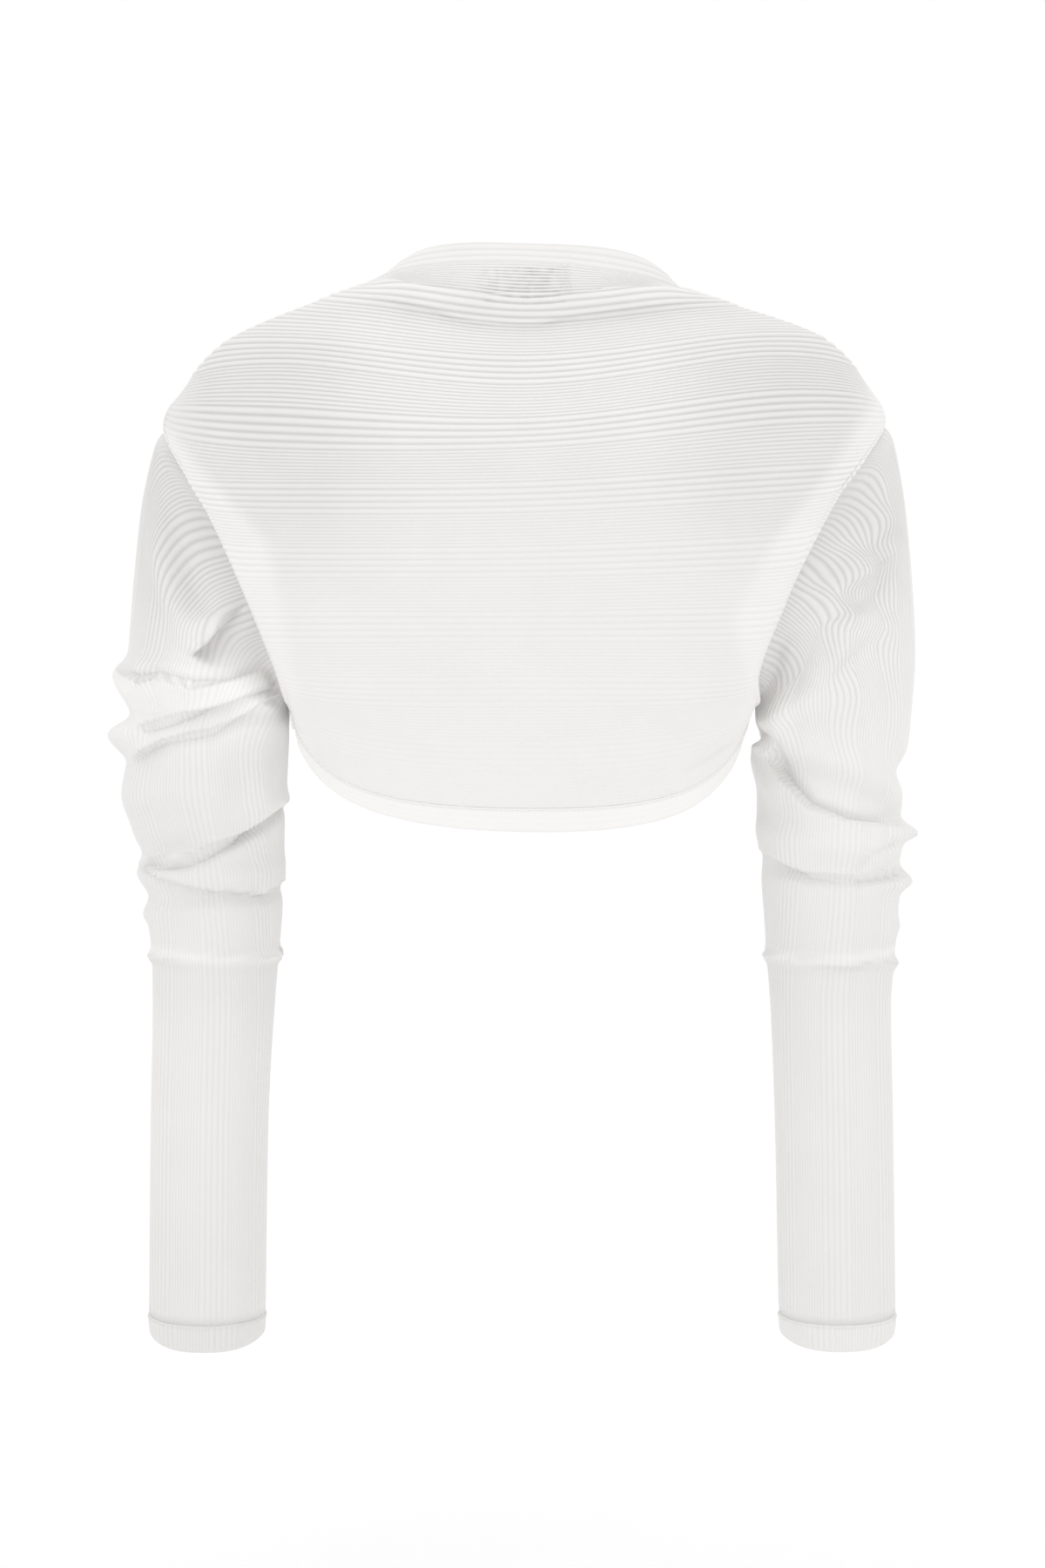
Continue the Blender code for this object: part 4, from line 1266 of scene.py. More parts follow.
    def outside(self, columns: np.ndarray, heights: np.ndarray, lift: float) -> np.ndarray:
        """Points of a line just outside the cloth of the back."""
        here = self.form.back_point(columns, heights)
        right, left = (self.form.back_point(columns + step, heights) for step in (0.02, -0.02))
        below, above = (self.form.back_point(columns, heights + step) for step in (-1.0, 1.0))
        normal = np.cross(right - left, below - above)
        normal /= np.linalg.norm(normal, axis=1, keepdims=True)
        if normal[len(normal) // 2, 1] > 0:
            normal = -normal
        crease, shift = creased(BACK_CREASES, here[:, 0], here[:, 2])
        return here + normal * (lift + crease)[:, None] + shift


@dataclass
class FrontPanel:
    """One narrow front with its turned band."""

    side: Side
    form: TorsoForm
    gauge: RibGauge
    repeats: int = 3
    rows: int = 70
    band_width: float = 12.0
    band_length: float = 300.0
    band_gap: float = 0.3
    sleeve_gap: float = 0.5
    ripple: float = 1.2
    least_rib_width: float = 80.0

    def __post_init__(self) -> None:
        """Names the front, and says roughly which way is out of the torso."""
        self.node = f"{self.side.word}_front"
        self.hint = np.array((0.6 * self.side.value, 1.0, 0.6))

    def make(self, room: Workroom) -> None:
        """Builds the front and its band."""
        side, gauge = self.side.value, self.gauge
        places = np.concatenate([gauge.stations() + gauge.repeat * k for k in range(self.repeats)])
        places = np.append(places, gauge.repeat * self.repeats)
        shares = places / places[-1]
        downs = (0.002 + 0.996 * np.linspace(0, 1, self.rows))[:, None]
        edges = self.form.front_point(side, np.array([[0.0, 1.0]]), downs)
        width = np.linalg.norm(edges[:, 1] - edges[:, 0], axis=1)[:, None]
        start = (1 + 2 * downs**4) * self.band_gap / width
        across = start + shares[None] * (1.0 - self.sleeve_gap / width - start)
        down = np.broadcast_to(downs, across.shape)
        ripple = self.ripple * np.sin(across * 9.0 + down * 7.0)
        ripple = ripple * np.sin(math.pi * down) ** 2 * np.sin(math.pi * across)
        rib = np.minimum(1.0, width / self.least_rib_width) * within(down, 0, 1, 0.05)
        rib = rib * within(shares, 0, 1, 0.01)
        shell = Shell(
            f"{self.node}_cloth", self.form.front_point(side, across, down),
            np.broadcast_to(places, across.shape), np.cumsum(np.full(across.shape, 4.0), axis=0),
            self.hint, lift=ripple, rib=rib, row_step=2, column_step=3, reach=1,
        )
        cut = Cut(0.125, 0.285, "draped", (f"{self.side.word}_sleeve",), area=0.024)
        room.dress(shell, room.knit, cut)
        self._make_band(room)

    def edge(self, down: np.ndarray, width: np.ndarray) -> np.ndarray:
        """Points of the band, across its width from the opening line."""
        line, ahead, behind, beside = (
            self.form.front_point(self.side.value, np.full_like(down, across), place)
            for across, place in (
                (0.0, down),
                (0.0, np.minimum(1.0, down + 0.01)),
                (0.0, np.maximum(0.0, down - 0.01)),
                (0.12, down),
            )
        )
        along = ahead - behind
        along /= np.linalg.norm(along, axis=-1, keepdims=True)
        inwards = line - beside
        inwards -= along * np.sum(inwards * along, axis=-1, keepdims=True)
        inwards /= np.linalg.norm(inwards, axis=-1, keepdims=True)
        return line + inwards * (0.15 + width[..., None] * self.band_width)

    def _make_band(self, room: Workroom) -> None:
        """Builds the turned band beside the opening."""
        downs = 0.004 + 0.992 * np.linspace(0, 1, 90)
        down, width = np.meshgrid(downs, np.linspace(0, 1, 21), indexing="ij")
        from_fold = (1.0 - width) * self.band_width
        rib = np.clip(from_fold / 1.5, 0, 1) * np.clip(width / 0.08, 0, 1) * within(down, 0, 1, 0.03)
        shell = Shell(
            f"{self.node}_band_cloth", self.edge(down, width), width * self.band_width + 0.9,
            down * self.band_length, self.hint, lift=BAND_STEP - rounded_off(from_fold), rib=rib * 0.7,
            thick=1.9, row_step=2, reach=0,
        )
        room.dress(shell, room.hem, Cut(0.026, 0.31, "folded", (self.node,), area=0.0042))


# ------------------------------------------------------------------- the sleeves

LEFT_ROWS = (
    (0.00, 226.6, -80, 145, -246, 56, 1, 0),
    (0.015, 226.2, -89, 144.5, -246.5, 55.5, 1, 0),
    (0.03, 228.4, -102, 144, -247, 55, 1, 0),
    (0.06, 232.4, -124, 144, -249, 55, 1, 0),
    (0.13, 237.4, -172, 144, -256, 56, 1, 0),
    (0.20, 240.8, -214, 144, -264, 56, 2, 0),
    (0.28, 244.5, -258, 144.5, -278, 55, 2, 0),
    (0.36, 243, -298, 145.5, -298, 53.5, 3, 0),
    (0.44, 236, -334, 147, -323, 50.5, 3.5, 0),
    (0.50, 231.5, -358, 147.5, -347, 48, 4.5, 0),
    (0.56, 229, -381, 148.5, -372, 45, 5, 0),
    (0.63, 227, -406, 151, -402, 41.5, 6, 0),
    (0.68, 227, -428, 153, -427, 38.5, 7, 0),
    (0.80, 228.5, -500, 157, -500, 36.5, 10, 1),
    (1.00, 230, -617, 159, -617, 35.5, 15, 4.5),
)
RIGHT_ROWS = (
    (0.00, 224.8, -76, 140.5, -246, 56, 1, 0),
    (0.015, 224.8, -87, 140.5, -246.5, 55.5, 1, 0),
    (0.03, 226.8, -102, 140.5, -247, 55, 1, 0),
    (0.06, 230.2, -124, 140.5, -249, 55, 1, 0),
    (0.13, 234.6, -172, 140.5, -256, 56, 1, 0),
    (0.20, 236.8, -214, 141, -264, 56, 2, 0),
    (0.28, 234.0, -258, 141, -278, 54.5, 2.5, 0),
    (0.36, 230, -298, 142, -298, 53, 3, 0),
    (0.44, 228.5, -334, 142.5, -323, 50.5, 3.5, 0),
    (0.50, 228, -358, 144, -347, 47.5, 4.5, 0),
    (0.56, 226.5, -381, 146, -372, 45, 5.5, 0),
    (0.63, 224.5, -406, 148, -402, 41, 6, 0),
    (0.68, 223, -428, 150, -427, 38.5, 7, 0),
    (0.80, 224.5, -500, 153, -500, 36.5, 10, 1),
    (1.00, 226.5, -617, 155.5, -617, 35.5, 15, 4),
)


@dataclass(frozen=True)
class Fold:
    """A soft roll (lift above 0) or hollow that runs part of the way round the arm."""

    from_angle: float
    from_height: float
    to_angle: float
    to_height: float
    bow: float
    lift: float
    half: float

    def at(self, angle: np.ndarray, height: np.ndarray) -> np.ndarray:
        """How far the fold lifts the cloth at some places."""
        middle = (self.from_angle + self.to_angle) / 2
        half_span = (self.to_angle - self.from_angle) / 2
        along = ((angle - middle + 180.0) % 360.0 - 180.0) / half_span
        level = (self.from_height + self.to_height) / 2
        line = level + along * (self.to_height - self.from_height) / 2 + self.bow * (1.0 - along**2)
        if half_span >= 180.0:
            fade = np.ones_like(along)
        else:
            fade = np.cos(np.clip(along, -1, 1) * math.pi / 2)
        return self.lift * fade * bell(height, line, self.half)


LEFT_FOLDS = (
    Fold(60, -207, 140, -182, 0, 4.0, 9),
    Fold(70, -224, 175, -196, 0, -4.0, 11),
    Fold(-70, -231, 120, -230, 0, 9.0, 10),
    Fold(-60, -252, 150, -248, 0, -6.0, 8),
    Fold(-70, -268, 100, -264, 0, 10.0, 9),
    Fold(-50, -290, 180, -240, 0, -4.0, 8),
    Fold(-30, -305, 150, -296, 0, 4.5, 12),
    Fold(-30, -334, 190, -300, -14, -6.0, 7),
    Fold(-60, -344, 200, -342, -6, 5.0, 7),
    Fold(-50, -359, 200, -357, -5, -3.0, 5),
    Fold(-70, -372, 50, -374, 0, 3.0, 5),
    Fold(-180, -397, 180, -400, 0, 3.0, 3.4),
    Fold(80, -236, 170, -246, 0, 14.0, 22),
    Fold(180, -240, 340, -262, 0, 6.0, 10),
    Fold(185, -268, 345, -285, -4, -5.0, 7),
    Fold(180, -305, 330, -318, -3, 4.0, 12),
    Fold(190, -335, 340, -338, -5, -4.5, 7),
    Fold(190, -355, 330, -358, 0, 3.5, 7),
)
RIGHT_FOLDS = (
    Fold(40, -158, 105, -196, 0, -3.5, 11),
    Fold(30, -190, 120, -236, 0, 3.5, 12),
    Fold(-50, -288, 50, -284, 0, -5.5, 9),
    Fold(10, -300, 170, -262, 0, 4.0, 10),
    Fold(-55, -324, 50, -322, 0, 13.0, 5.5),
    Fold(-40, -332, 200, -266, 0, -5.0, 9),
    Fold(0, -334, 200, -318, -4, 5.5, 9),
    Fold(-30, -341, 200, -342, -5, -4.0, 6),
    Fold(-60, -349, 70, -355, 0, 8.0, 6),
    Fold(-70, -378, 50, -382, 0, 2.0, 5),
    Fold(-180, -398, 180, -398, -5, 3.0, 3.4),
    Fold(80, -242, 170, -252, 0, 13.0, 18),
    Fold(185, -246, 340, -268, 0, 6.0, 10),
    Fold(170, -272, 345, -292, -4, -4.5, 8),
    Fold(180, -305, 320, -316, -3, 4.0, 12),
    Fold(190, -332, 330, -338, -5, -4.5, 7),
    Fold(190, -352, 300, -357, 0, 3.5, 7),
)
LEFT_CREASES = (
    Crease(((-198.5, -218), (-194, -209.5), (-185, -201.5), (-173, -192), (-158, -180), (-146, -170)),
           5.5, 9, -5.5, 11, edge=1.1, fade=0.12, hang=5.0),
    Crease(((-221, -122), (-219, -155), (-212, -182), (-202, -208)), 4.0, 6.5, 4.0, 6.5, edge=6, fade=0.3),
    Crease(((-207, -114), (-204, -145), (-197, -172), (-189, -196)), -4.5, 7.5, -4.5, 7.5, edge=6, fade=0.3),
    Crease(((-247, -223), (-233, -231), (-219, -228.7), (-198, -235), (-173, -231.8), (-150, -223)),
           -2.5, 4, 1.8, 6, edge=0.9, fade=0.12),
    Crease(((-236, -262), (-222, -260), (-203, -253.6), (-186, -248), (-170, -243), (-146, -234)),
           2.2, 7, -2.6, 5, edge=0.8, fade=0.15),
    Crease(((-238, -282), (-228, -274.4), (-215, -269), (-186, -263), (-160, -247), (-145, -239)),
           2.4, 7, -2.2, 6, edge=0.8, fade=0.15),
    Crease(((-232, -342), (-206, -340.4), (-192, -335.7), (-176, -327.4), (-159, -315), (-140, -300)),
           2.6, 9, -3.4, 5, edge=0.8, fade=0.12),
    Crease(((-236, -342), (-224, -350), (-189, -357.7), (-158, -360), (-143, -351)),
           1.6, 6, -2.2, 5, edge=0.8, fade=0.12),
    Crease(((-228, -394.9), (-184, -398.6), (-143, -401)), 0.4, 3, -0.7, 4, edge=1.0, fade=0.08),
)
RIGHT_CREASES = (
    Crease(((134, -259), (147.6, -273.4), (156, -290.5), (170, -307), (193, -315.5), (228, -319.5)),
           -3.4, 5, 2.6, 9, edge=0.8, fade=0.1),
    Crease(((141, -333), (154.6, -341), (170, -348), (198, -351), (230, -346)),
           1.8, 7, -2.4, 5, edge=0.8, fade=0.12),
    Crease(((198, -346), (208, -339.4), (226, -329)), -1.6, 4, 1.2, 5, edge=1.2, fade=0.3),
    Crease(((142, -391.5), (160, -398.6), (174, -402.3), (198, -405.4), (226, -396)),
           0.4, 3, -0.7, 4, edge=1.0, fade=0.08),
    Crease(((190, -128), (206, -125), (226, -118)), -3.6, 6, -3.6, 6, edge=3, fade=0.35),
    Crease(((172, -144), (196, -138), (230, -131)), 2.6, 5.5, 2.6, 5.5, edge=3, fade=0.3),
    Crease(((176, -159), (202, -151), (228, -142)), -3.8, 6, -3.8, 6, edge=3, fade=0.35),
    Crease(((176, -174), (204, -165), (229, -152)), 2.8, 6, 2.8, 6, edge=3, fade=0.3),
    Crease(((184, -193), (204, -181), (226, -168)), -3.6, 7, -3.6, 7, edge=4, fade=0.35),
    Crease(((176, -240), (195, -221), (214, -201)), -3.4, 9, -3.4, 9, edge=4, fade=0.35),
    Crease(((138, -266), (144.5, -289), (153, -311)), 1.6, 4, 1.6, 4, edge=4, fade=0.3),
    Crease(((140, -240), (146, -222), (154, -203)), -7.0, 5, -7.0, 5, edge=3, fade=0.4),
)


@dataclass(frozen=True)
class SleeveForm:
    """What is one sleeve's own: its tables, the way its ribs lie and its zones of painted light and shade.
    """

    rows: tuple[tuple[float, ...], ...]
    folds: tuple[Fold, ...]
    creases: tuple[Crease, ...]
    twist: float
    sway: float
    drift: float
    drift_length: float
    # Where light is painted on the inner side of the arm, by the body: an edge across and a zone in height.
    inner_edge: tuple[float, float]
    inner_zone: tuple[float, float]
    # How much light or shade is painted into the colour in each zone of the arm; bunch_flat instead lowers
    # the ribs where the folds bunch.
    upper_painted_light: float
    bunch_painted_light: float
    bunch_flat: float
    ring_shade: float
    wrist_shade: float
    cuff_shade: float


SLEEVES = {
    Side.LEFT: SleeveForm(
        LEFT_ROWS, LEFT_FOLDS, LEFT_CREASES, twist=4.0, sway=0.0, drift=10.0, drift_length=0.24,
        inner_edge=(178.0, 20.0), inner_zone=(-300.0, 30.0), upper_painted_light=0.0, bunch_painted_light=2.6,
        bunch_flat=0.4, ring_shade=0.5, wrist_shade=0.5, cuff_shade=2.2,
    ),
    Side.RIGHT: SleeveForm(
        RIGHT_ROWS, RIGHT_FOLDS, RIGHT_CREASES, twist=-15.0, sway=2.6, drift=17.0, drift_length=0.34,
        inner_edge=(164.0, 14.0), inner_zone=(-258.0, 34.0), upper_painted_light=0.8, bunch_painted_light=0.0,
        bunch_flat=0.0, ring_shade=0.25, wrist_shade=0.2, cuff_shade=1.2,
    ),
}


@dataclass
class Sleeve:
    """A long sleeve, pushed up on the arm, with its turned cuff hem.

    Angles run round the arm in degrees: 0 on its outer side, 90 at the back.  A share
    is a place down the sleeve, 0 at the armhole and 1 at the wrist.  The joins say by
    which share the tube has left the armhole's line; the waves are those of the ribs
    of the upper sleeve; the ring line is the fold round the forearm.
    """

    side: Side
    form: TorsoForm
    gauge: RibGauge
    repeats: int = 9
    ring_step: float = 2.5
    bunched: tuple[float, float] = (-150.0, -362.0)
    bunched_step: float = 1.75
    plain_from: float = -412.0
    plain_step: float = 7.0
    middle_angle: float = 65.0
    twist_end: float = 0.16
    top_share: float = 0.0015
    cuff_depth: float = 16.0
    soft_join: float = 0.16
    sharp_join: float = 0.05
    wave_slope: float = 0.52
    wave_from: float = 28.5
    wave_pitch: float = 31.5
    low_waves_from: float = 75.0
    low_wave_pitch: float = 58.0
    ring_line: tuple[tuple[float, float], ...] = (
        (142, -397), (160, -399), (174, -400), (198, -399), (226, -395),
    )

    def __post_init__(self) -> None:
        """Reads the side's tables."""
        columns = ("share", "ox", "oz", "ix", "iz", "depth", "forward", "slant")
        self.own = SLEEVES[self.side]
        self.track = Track(columns, self.own.rows)
        self.node = f"{self.side.word}_sleeve"
        self.hint = np.array((0.4 * self.side.value, -0.9, 0.0))

    def section(self, angle: np.ndarray, share: np.ndarray) -> np.ndarray:
        """Points of the plain tube."""
        row = self.track.at(share)
        turn = np.radians(angle)
        x = (row["ox"] + row["ix"]) / 2 + (row["ox"] - row["ix"]) / 2 * np.cos(turn)
        z = (row["oz"] + row["iz"]) / 2 + (row["oz"] - row["iz"]) / 2 * np.cos(turn)
        y = row["forward"] - row["depth"] * np.sin(turn)
        return np.stack((self.side.value * x, y, z - row["slant"] * np.sin(turn)), axis=-1)

    def middle(self, share: np.ndarray) -> np.ndarray:
        """The middle of the tube."""
        row = self.track.at(share)
        x = self.side.value * (row["ox"] + row["ix"]) / 2
        return np.stack((x, row["forward"], (row["oz"] + row["iz"]) / 2), axis=-1)

    def point(self, angle: np.ndarray, share: np.ndarray) -> np.ndarray:
        """Points of the cloth with its soft folds, joined to the armhole at the top."""
        spot = self.section(angle, share)
        gap = self.form.armhole_point(self.side.value, angle) - self.section(angle, np.zeros_like(share))
        outside = np.clip(1.0 - np.abs((angle + 180.0) % 360.0 - 180.0) / 80.0, 0, 1)
        power = 3.0 + 14.0 * outside**2 * (3.0 - 2.0 * outside)
        fade = np.clip(1.0 - share / self.soft_join, 0, 1) ** power
        sharp = np.clip(1.0 - share / self.sharp_join, 0, 1) ** 2
        inside = np.clip(1.0 - np.abs(angle % 360.0 - 180.0) / 60.0, 0, 1) ** 0.5
        spot = spot + gap * np.stack((fade + (sharp - fade) * inside, sharp, fade), axis=-1)
        outward = spot - self.middle(share)
        outward /= np.linalg.norm(outward, axis=-1, keepdims=True)
        lift = sum(fold.at(angle, spot[..., 2]) for fold in self.own.folds)
        inner = np.clip(1.0 - np.abs(angle % 360.0 - 130.0) / 50.0, 0, 1)
        return spot + outward * (np.clip(share / (0.1 - 0.07 * inner), 0, 1) * lift)[..., None]

    def shares(self) -> np.ndarray:
        """Rings down the sleeve, close together where it is bunched."""
        probe = np.linspace(self.top_share, 1.0, 600)
        middle = self.middle(probe)
        run = np.concatenate(((0.0,), np.cumsum(np.linalg.norm(np.diff(middle, axis=0), axis=1))))
        outer = self.section(np.zeros_like(probe), probe)[:, 2]
        step = np.where(outer > self.plain_from, self.ring_step, self.plain_step)
        step = np.where((outer < self.bunched[0]) & (outer > self.bunched[1]), self.bunched_step, step)
        slanted = 1.0 + 0.9 * np.clip(1 - probe / 0.12, 0, 1)
        count = np.concatenate(((0.0,), np.cumsum(np.diff(run) / step[1:] * slanted[1:])))
        return np.interp(np.linspace(0, count[-1], int(count[-1])), count, probe)

    def girth(self, share: np.ndarray) -> np.ndarray:
        """The length round the plain tube."""
        row = self.track.at(share)
        wide, deep = np.hypot((row["ox"] - row["ix"]) / 2, (row["oz"] - row["iz"]) / 2), row["depth"]
        return math.pi * (3 * (wide + deep) - np.sqrt((3 * wide + deep) * (wide + 3 * deep)))

    def places(self, bold_steps: int = 4, fine_steps: int = 3) -> np.ndarray:
        """Columns round the arm that follow every rib, sparser on its front."""
        gauge, parts = self.gauge, []
        for k in range(self.repeats):
            hidden = k < 2 or k > self.repeats - 3
            steps = gauge.stations(2, 2) if hidden else gauge.stations(bold_steps, fine_steps)
            parts.append(steps + gauge.repeat * k)
        return np.concatenate(parts)

    def angles(self, places: np.ndarray, share: np.ndarray) -> np.ndarray:
        """Where straight ribs lie round the arm.

        They keep their own width at the back, and crowd into the seam at the front
        where the sleeve narrows.

        Args:
            places: distances across the ribs, from the seam.
            share: down the sleeve.

        Returns:
            Angles round the arm.
        """
        half = self.gauge.repeat * self.repeats / 2
        off = (places - half) / half
        room = np.minimum(self.girth(share) / 2 / half, 1.0)
        off = off * (1.0 - (1.0 - room) * np.abs(off) ** 2) / room
        return self.middle_angle + 180.0 * off

    def dragged(self, angle: np.ndarray, share: np.ndarray) -> tuple[np.ndarray, np.ndarray]:
        """The ribs pulled sideways where they slant out of the fold of the back, and in waves.

        Args:
            angle: round the arm.
            share: down the sleeve.

        Returns:
            The angle and the share of the same point of the cloth, pulled level.
        """
        own, back = self.own, np.sin(np.radians(angle))
        below = rise(share, 0.06, own.drift_length)
        pull = own.twist * np.clip(1.0 - share / self.twist_end, 0, 1)
        pull = pull - own.drift * below**2 * (3.0 - 2.0 * below)
        spot = self.section(angle, share)
        down = -(spot[..., 2] + self.wave_slope * spot[..., 0] + self.wave_from)
        turns = np.minimum(down, self.low_waves_from) / self.wave_pitch
        turns = turns + np.maximum(down - self.low_waves_from, 0) / self.low_wave_pitch
        zone = np.clip(share / 0.05, 0, 1) * fall(share, 0.42, 0.08)
        pull = pull - own.sway * np.cos(turns * 2 * math.pi) * zone * np.clip(back, 0, 1)
        row = self.track.at(share)
        climb = (row["oz"] - row["iz"]) / 2 * back * np.radians(pull)
        near = 0.004
        drop = self.section(angle, share + near)[..., 2] - self.section(angle, share - near)[..., 2]
        level = climb / np.minimum(drop / (2 * near), -150.0)
        level = level * np.clip(share / 0.04, 0, 1) * fall(share, 0.5, 0.1)
        return angle + pull, np.clip(share + level, self.top_share, 1.0)

    def bunch(self, points: np.ndarray, angle: np.ndarray) -> np.ndarray:
        """Where the pushed-up folds lie close together at the back, short of the outer edge."""
        x, z = np.abs(points[..., 0]), points[..., 2]
        return bell(z, -238.0, 32.0) * (1.0 - 0.8 * rise(x, 200.0, 20.0) * rise(z, -235.0, 14.0))

    def behind(self, angle: np.ndarray) -> np.ndarray:
        """1 at the back of the arm, and down to 0 just past its sides."""
        return rise(np.sin(np.radians(angle)), -0.1, 0.5)

    def rib(self, points: np.ndarray, angle: np.ndarray, share: np.ndarray) -> np.ndarray:
        """How high the ribs stand: lower in the bunched folds, and most so behind them."""
        z = points[..., 2]
        ends = np.clip(share / 0.02, 0, 1) * fall(share, 1, 0.006)
        below_shoulder, bunched = fall(z, -190, 60), fall(z, -240, 60)
        at_back = np.clip(np.sin(np.radians(angle)), 0, 1) ** 3
        high = ends * (1.25 - 0.45 * below_shoulder) * (1.0 - (0.15 + 0.35 * at_back) * bunched)
        return high * (1.0 - self.own.bunch_flat * self.bunch(points, angle) * self.behind(angle))

    def thin(self, points: np.ndarray, angle: np.ndarray) -> np.ndarray:
        """How much shade is painted into the colour: painted light where the bunched folds and the inner
        side by the body lie in shade, more painted shade on the upper sleeve and near the wrist.
        """
        own, x, z = self.own, np.abs(points[..., 0]), points[..., 2]
        upper, bunched = rise(z, -200, 60), fall(z, -240, 60)
        above_ring, wrist = rise(z, -390, 60), fall(z, -500, 80)
        thin = 1.0 + 1.4 * upper - 0.1 * bunched + own.wrist_shade * wrist - own.upper_painted_light * above_ring
        inner = fall(x, *own.inner_edge) * bell(z, *own.inner_zone)
        pale = own.bunch_painted_light * self.bunch(points, angle) + 2.2 * inner
        thin = thin - pale * self.behind(angle)
        ring = np.interp(x, *zip(*self.ring_line))
        # A painted highlight on the crest of the ring fold, with painted shade at its foot and below it.
        crest, foot, below = bell(z, ring, 3.2), bell(z, ring - 6.5, 3.0), bell(z, ring - 18, 14.0)
        return thin - 1.4 * crest + 0.5 * foot + own.ring_shade * below

    def make(self, room: Workroom) -> None:
        """Builds the sleeve and its cuff hem."""
        places, share = np.meshgrid(self.places(), self.shares())
        angle, share = self.dragged(self.angles(places, share), share)
        points = self.point(angle, share)
        facing = rise(np.sin(np.radians(angle)), -0.45, 0.5) * rise(share, 0.03, 0.05)
        lift, shift = creased(self.own.creases, points[..., 0], points[..., 2])
        lift = lift * facing * (1.25 + 0.45 * fall(points[..., 2], -205, 15))
        steps = np.linalg.norm(np.diff(points, axis=0), axis=2)
        course = np.concatenate((np.zeros((1, points.shape[1])), np.cumsum(steps, axis=0)))
        shell = Shell(
            f"{self.node}_cloth", points, places, course, self.hint,
            lift=lift, shift=shift * facing[..., None],
            rib=self.rib(points, angle, share), thin=self.thin(points, angle),
            closed=True, row_step=2, column_step=5, reach=2,
        )
        cut = Cut(0.34, 0.60, "gathered", (f"{self.side.word}_front", "back"), area=0.170)
        room.dress(shell, room.knit, cut)
        self._make_cuff(room)

    def ring(self, angle: np.ndarray, drop: np.ndarray, lift: np.ndarray | float) -> np.ndarray:
        """Points round the cuff at a drop below the sleeve's end."""
        one = np.ones_like(angle)
        spot = self.section(angle, one)
        outward = spot - self.middle(one)
        outward[..., 2] = 0.0
        outward /= np.linalg.norm(outward, axis=-1, keepdims=True)
        curl = (drop / self.cuff_depth) ** 2
        raised = curl * 4.0 * np.cos(np.radians(angle)) ** 4
        spot = spot + outward * (lift - curl)[..., None]
        return spot + np.stack((0 * drop, 0 * drop, raised - drop), axis=-1)

    def _make_cuff(self, room: Workroom) -> None:
        """Builds the turned cuff hem."""
        shares = np.concatenate((np.linspace(0, 0.9, 13), (0.94, 0.97, 0.99, 1.0)))
        places, drop = np.meshgrid(self.places(), 0.05 + (self.cuff_depth + 0.25) * shares)
        angle = self.angles(places, np.ones_like(places))
        from_fold = drop[-1] - drop
        step = 0.3 * np.clip(drop / 1.2, 0.15, 1)
        rib = np.clip(from_fold / 2.5, 0, 1) * np.clip(drop / 1.0, 0, 1)
        # The cuff's colour takes the sleeve's painted cuff shade.
        shell = Shell(
            f"{self.side.word}_cuff_cloth", self.ring(angle, drop, step - rounded_off(from_fold)),
            places, drop, self.hint, rib=rib * 0.7, thin=self.own.cuff_shade, thick=1.8,
            closed=True, row_step=2, column_step=5, reach=0,
        )
        room.dress(shell, room.hem, Cut(0.23, 0.034, "folded", (self.node,), area=0.0042))

    def cuff_line(self) -> list[np.ndarray]:
        """The line of stitches round the top of the cuff hem."""
        angles = np.linspace(0, 360, 160)
        return [self.ring(angles, np.full(160, 1.6), np.full(160, 0.75))]


# ------------------------------------------------------------------- the studio


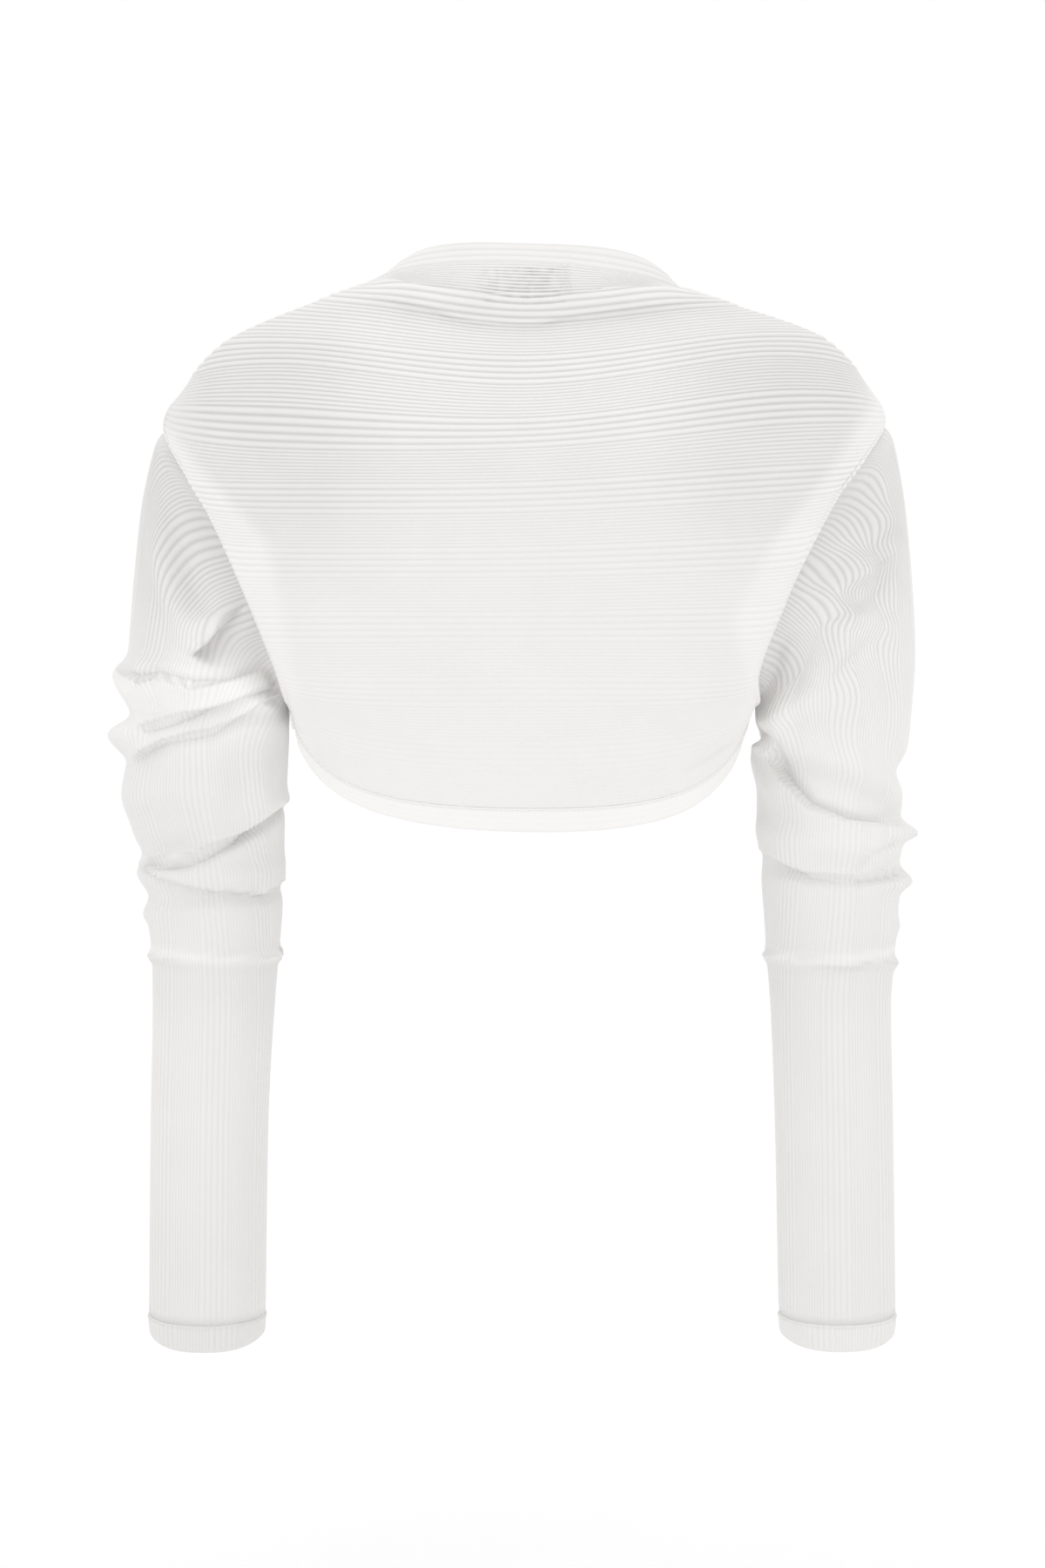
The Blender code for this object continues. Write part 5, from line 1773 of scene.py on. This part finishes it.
@dataclass
class Studio:
    """A plain pale floor, soft light and the camera."""

    camera_at: tuple[float, float, float] = (-0.0016, -2.6, -0.29415)
    lens: float = 98.113
    floor_at: float = -0.80
    floor_half: float = 9.0
    bend_from: float = 5.2
    bend_radius: float = 1.2
    surround: float = 1.055
    aim: tuple[float, float, float] = (0.0, 0.0, -0.25)
    key_power: float = 4.0
    fill_power: float = 2.0

    def make_camera(self) -> None:
        """Makes the camera, level and square to the back."""
        data = bpy.data.cameras.new("camera")
        data.sensor_width = 36.0
        data.lens = self.lens
        camera = placed("camera", data)
        camera.location = self.camera_at
        camera.rotation_euler = (math.pi / 2, 0.0, 0.0)
        bpy.context.scene.camera = camera

    def make_floor(self) -> None:
        """Makes the floor, a wide sheet that curves up behind."""
        far, radius = self.bend_from, self.bend_radius
        turns = np.linspace(0.1, math.pi / 2, 16)
        rows = [(-8.0, 0.0), (far, 0.0)]
        rows += [(far + radius * math.sin(t), radius - radius * math.cos(t)) for t in turns]
        rows += [(far + radius, 7.0)]
        half = self.floor_half
        points = [(x, y, self.floor_at + z) for y, z in rows for x in (-half, half)]
        faces = [(2 * i, 2 * i + 1, 2 * i + 3, 2 * i + 2) for i in range(len(rows) - 1)]
        mesh = bpy.data.meshes.new("floor")
        mesh.from_pydata(points, [], faces)
        mesh.shade_smooth()
        mesh.materials.append(PlainFinish("pale floor", (0.97, 0.97, 0.97), 0.9, 0.003, 3.0).make())
        floor = placed("floor", mesh)

    def make_lights(self) -> None:
        """Makes the soft light: a pale surround and two large panels."""
        world = bpy.data.worlds.new("surround")
        world.use_nodes = True
        surround = world.node_tree.nodes["Background"]
        surround.inputs["Color"].default_value = (1.0, 1.0, 1.0, 1.0)
        surround.inputs["Strength"].default_value = self.surround
        bpy.context.scene.world = world
        bpy.context.scene.view_settings.view_transform = "Standard"
        bpy.context.scene.view_settings.look = "None"
        for name, place, power, size in (
            ("key", (-1.6, -2.6, 1.4), self.key_power, 1.6),
            ("fill", (2.0, -2.4, 0.4), self.fill_power, 1.8),
        ):
            data = bpy.data.lights.new(name, "AREA")
            data.energy = power
            data.size = size
            light = placed(name, data)
            light.location = place
            towards = Vector(self.aim) - Vector(place)
            light.rotation_euler = towards.to_track_quat("-Z", "Y").to_euler()


def main() -> None:
    """Builds the garment piece by piece, then the studio."""
    logging.basicConfig(level=logging.INFO, format="%(message)s")
    gauge = RibGauge()
    knit = KnitFinish("rib knit", (0.852, 0.841, 0.826)).make(gauge)
    # The turned bands' cloth is a slightly paler copy of the knit, as painted light, with less painted shade
    # in its grooves.
    turned = KnitFinish("turned knit", (0.860, 0.849, 0.833), shade=0.10).make(gauge)
    label = WovenFinish("label tape", (0.03, 0.03, 0.035)).make()
    thread = PlainFinish("thread", (0.83, 0.82, 0.805)).make()
    room = Workroom(ReliefTree(gauge), Cloth(knit, "knit"), Cloth(turned, "hem", 0.8))
    stitches = StitchTree()
    form = TorsoForm()
    back = BackPanel(form, gauge)
    back.make(room)
    back.make_label(label)
    rows = back.hem_lines()
    for side in Side:
        FrontPanel(side, form, gauge).make(room)
        sleeve = Sleeve(side, form, gauge)
        sleeve.make(room)
        rows[f"{side.word}_cuff_stitches"] = sleeve.cuff_line()
    for name, lines in rows.items():
        row = stitches.sew(name, lines, thread)
        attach(row, "root")
        LOG.info("%s: %d faces", name, len(row.data.polygons))
    studio = Studio()
    studio.make_camera()
    studio.make_floor()
    studio.make_lights()


if __name__ == "__main__":
    main()
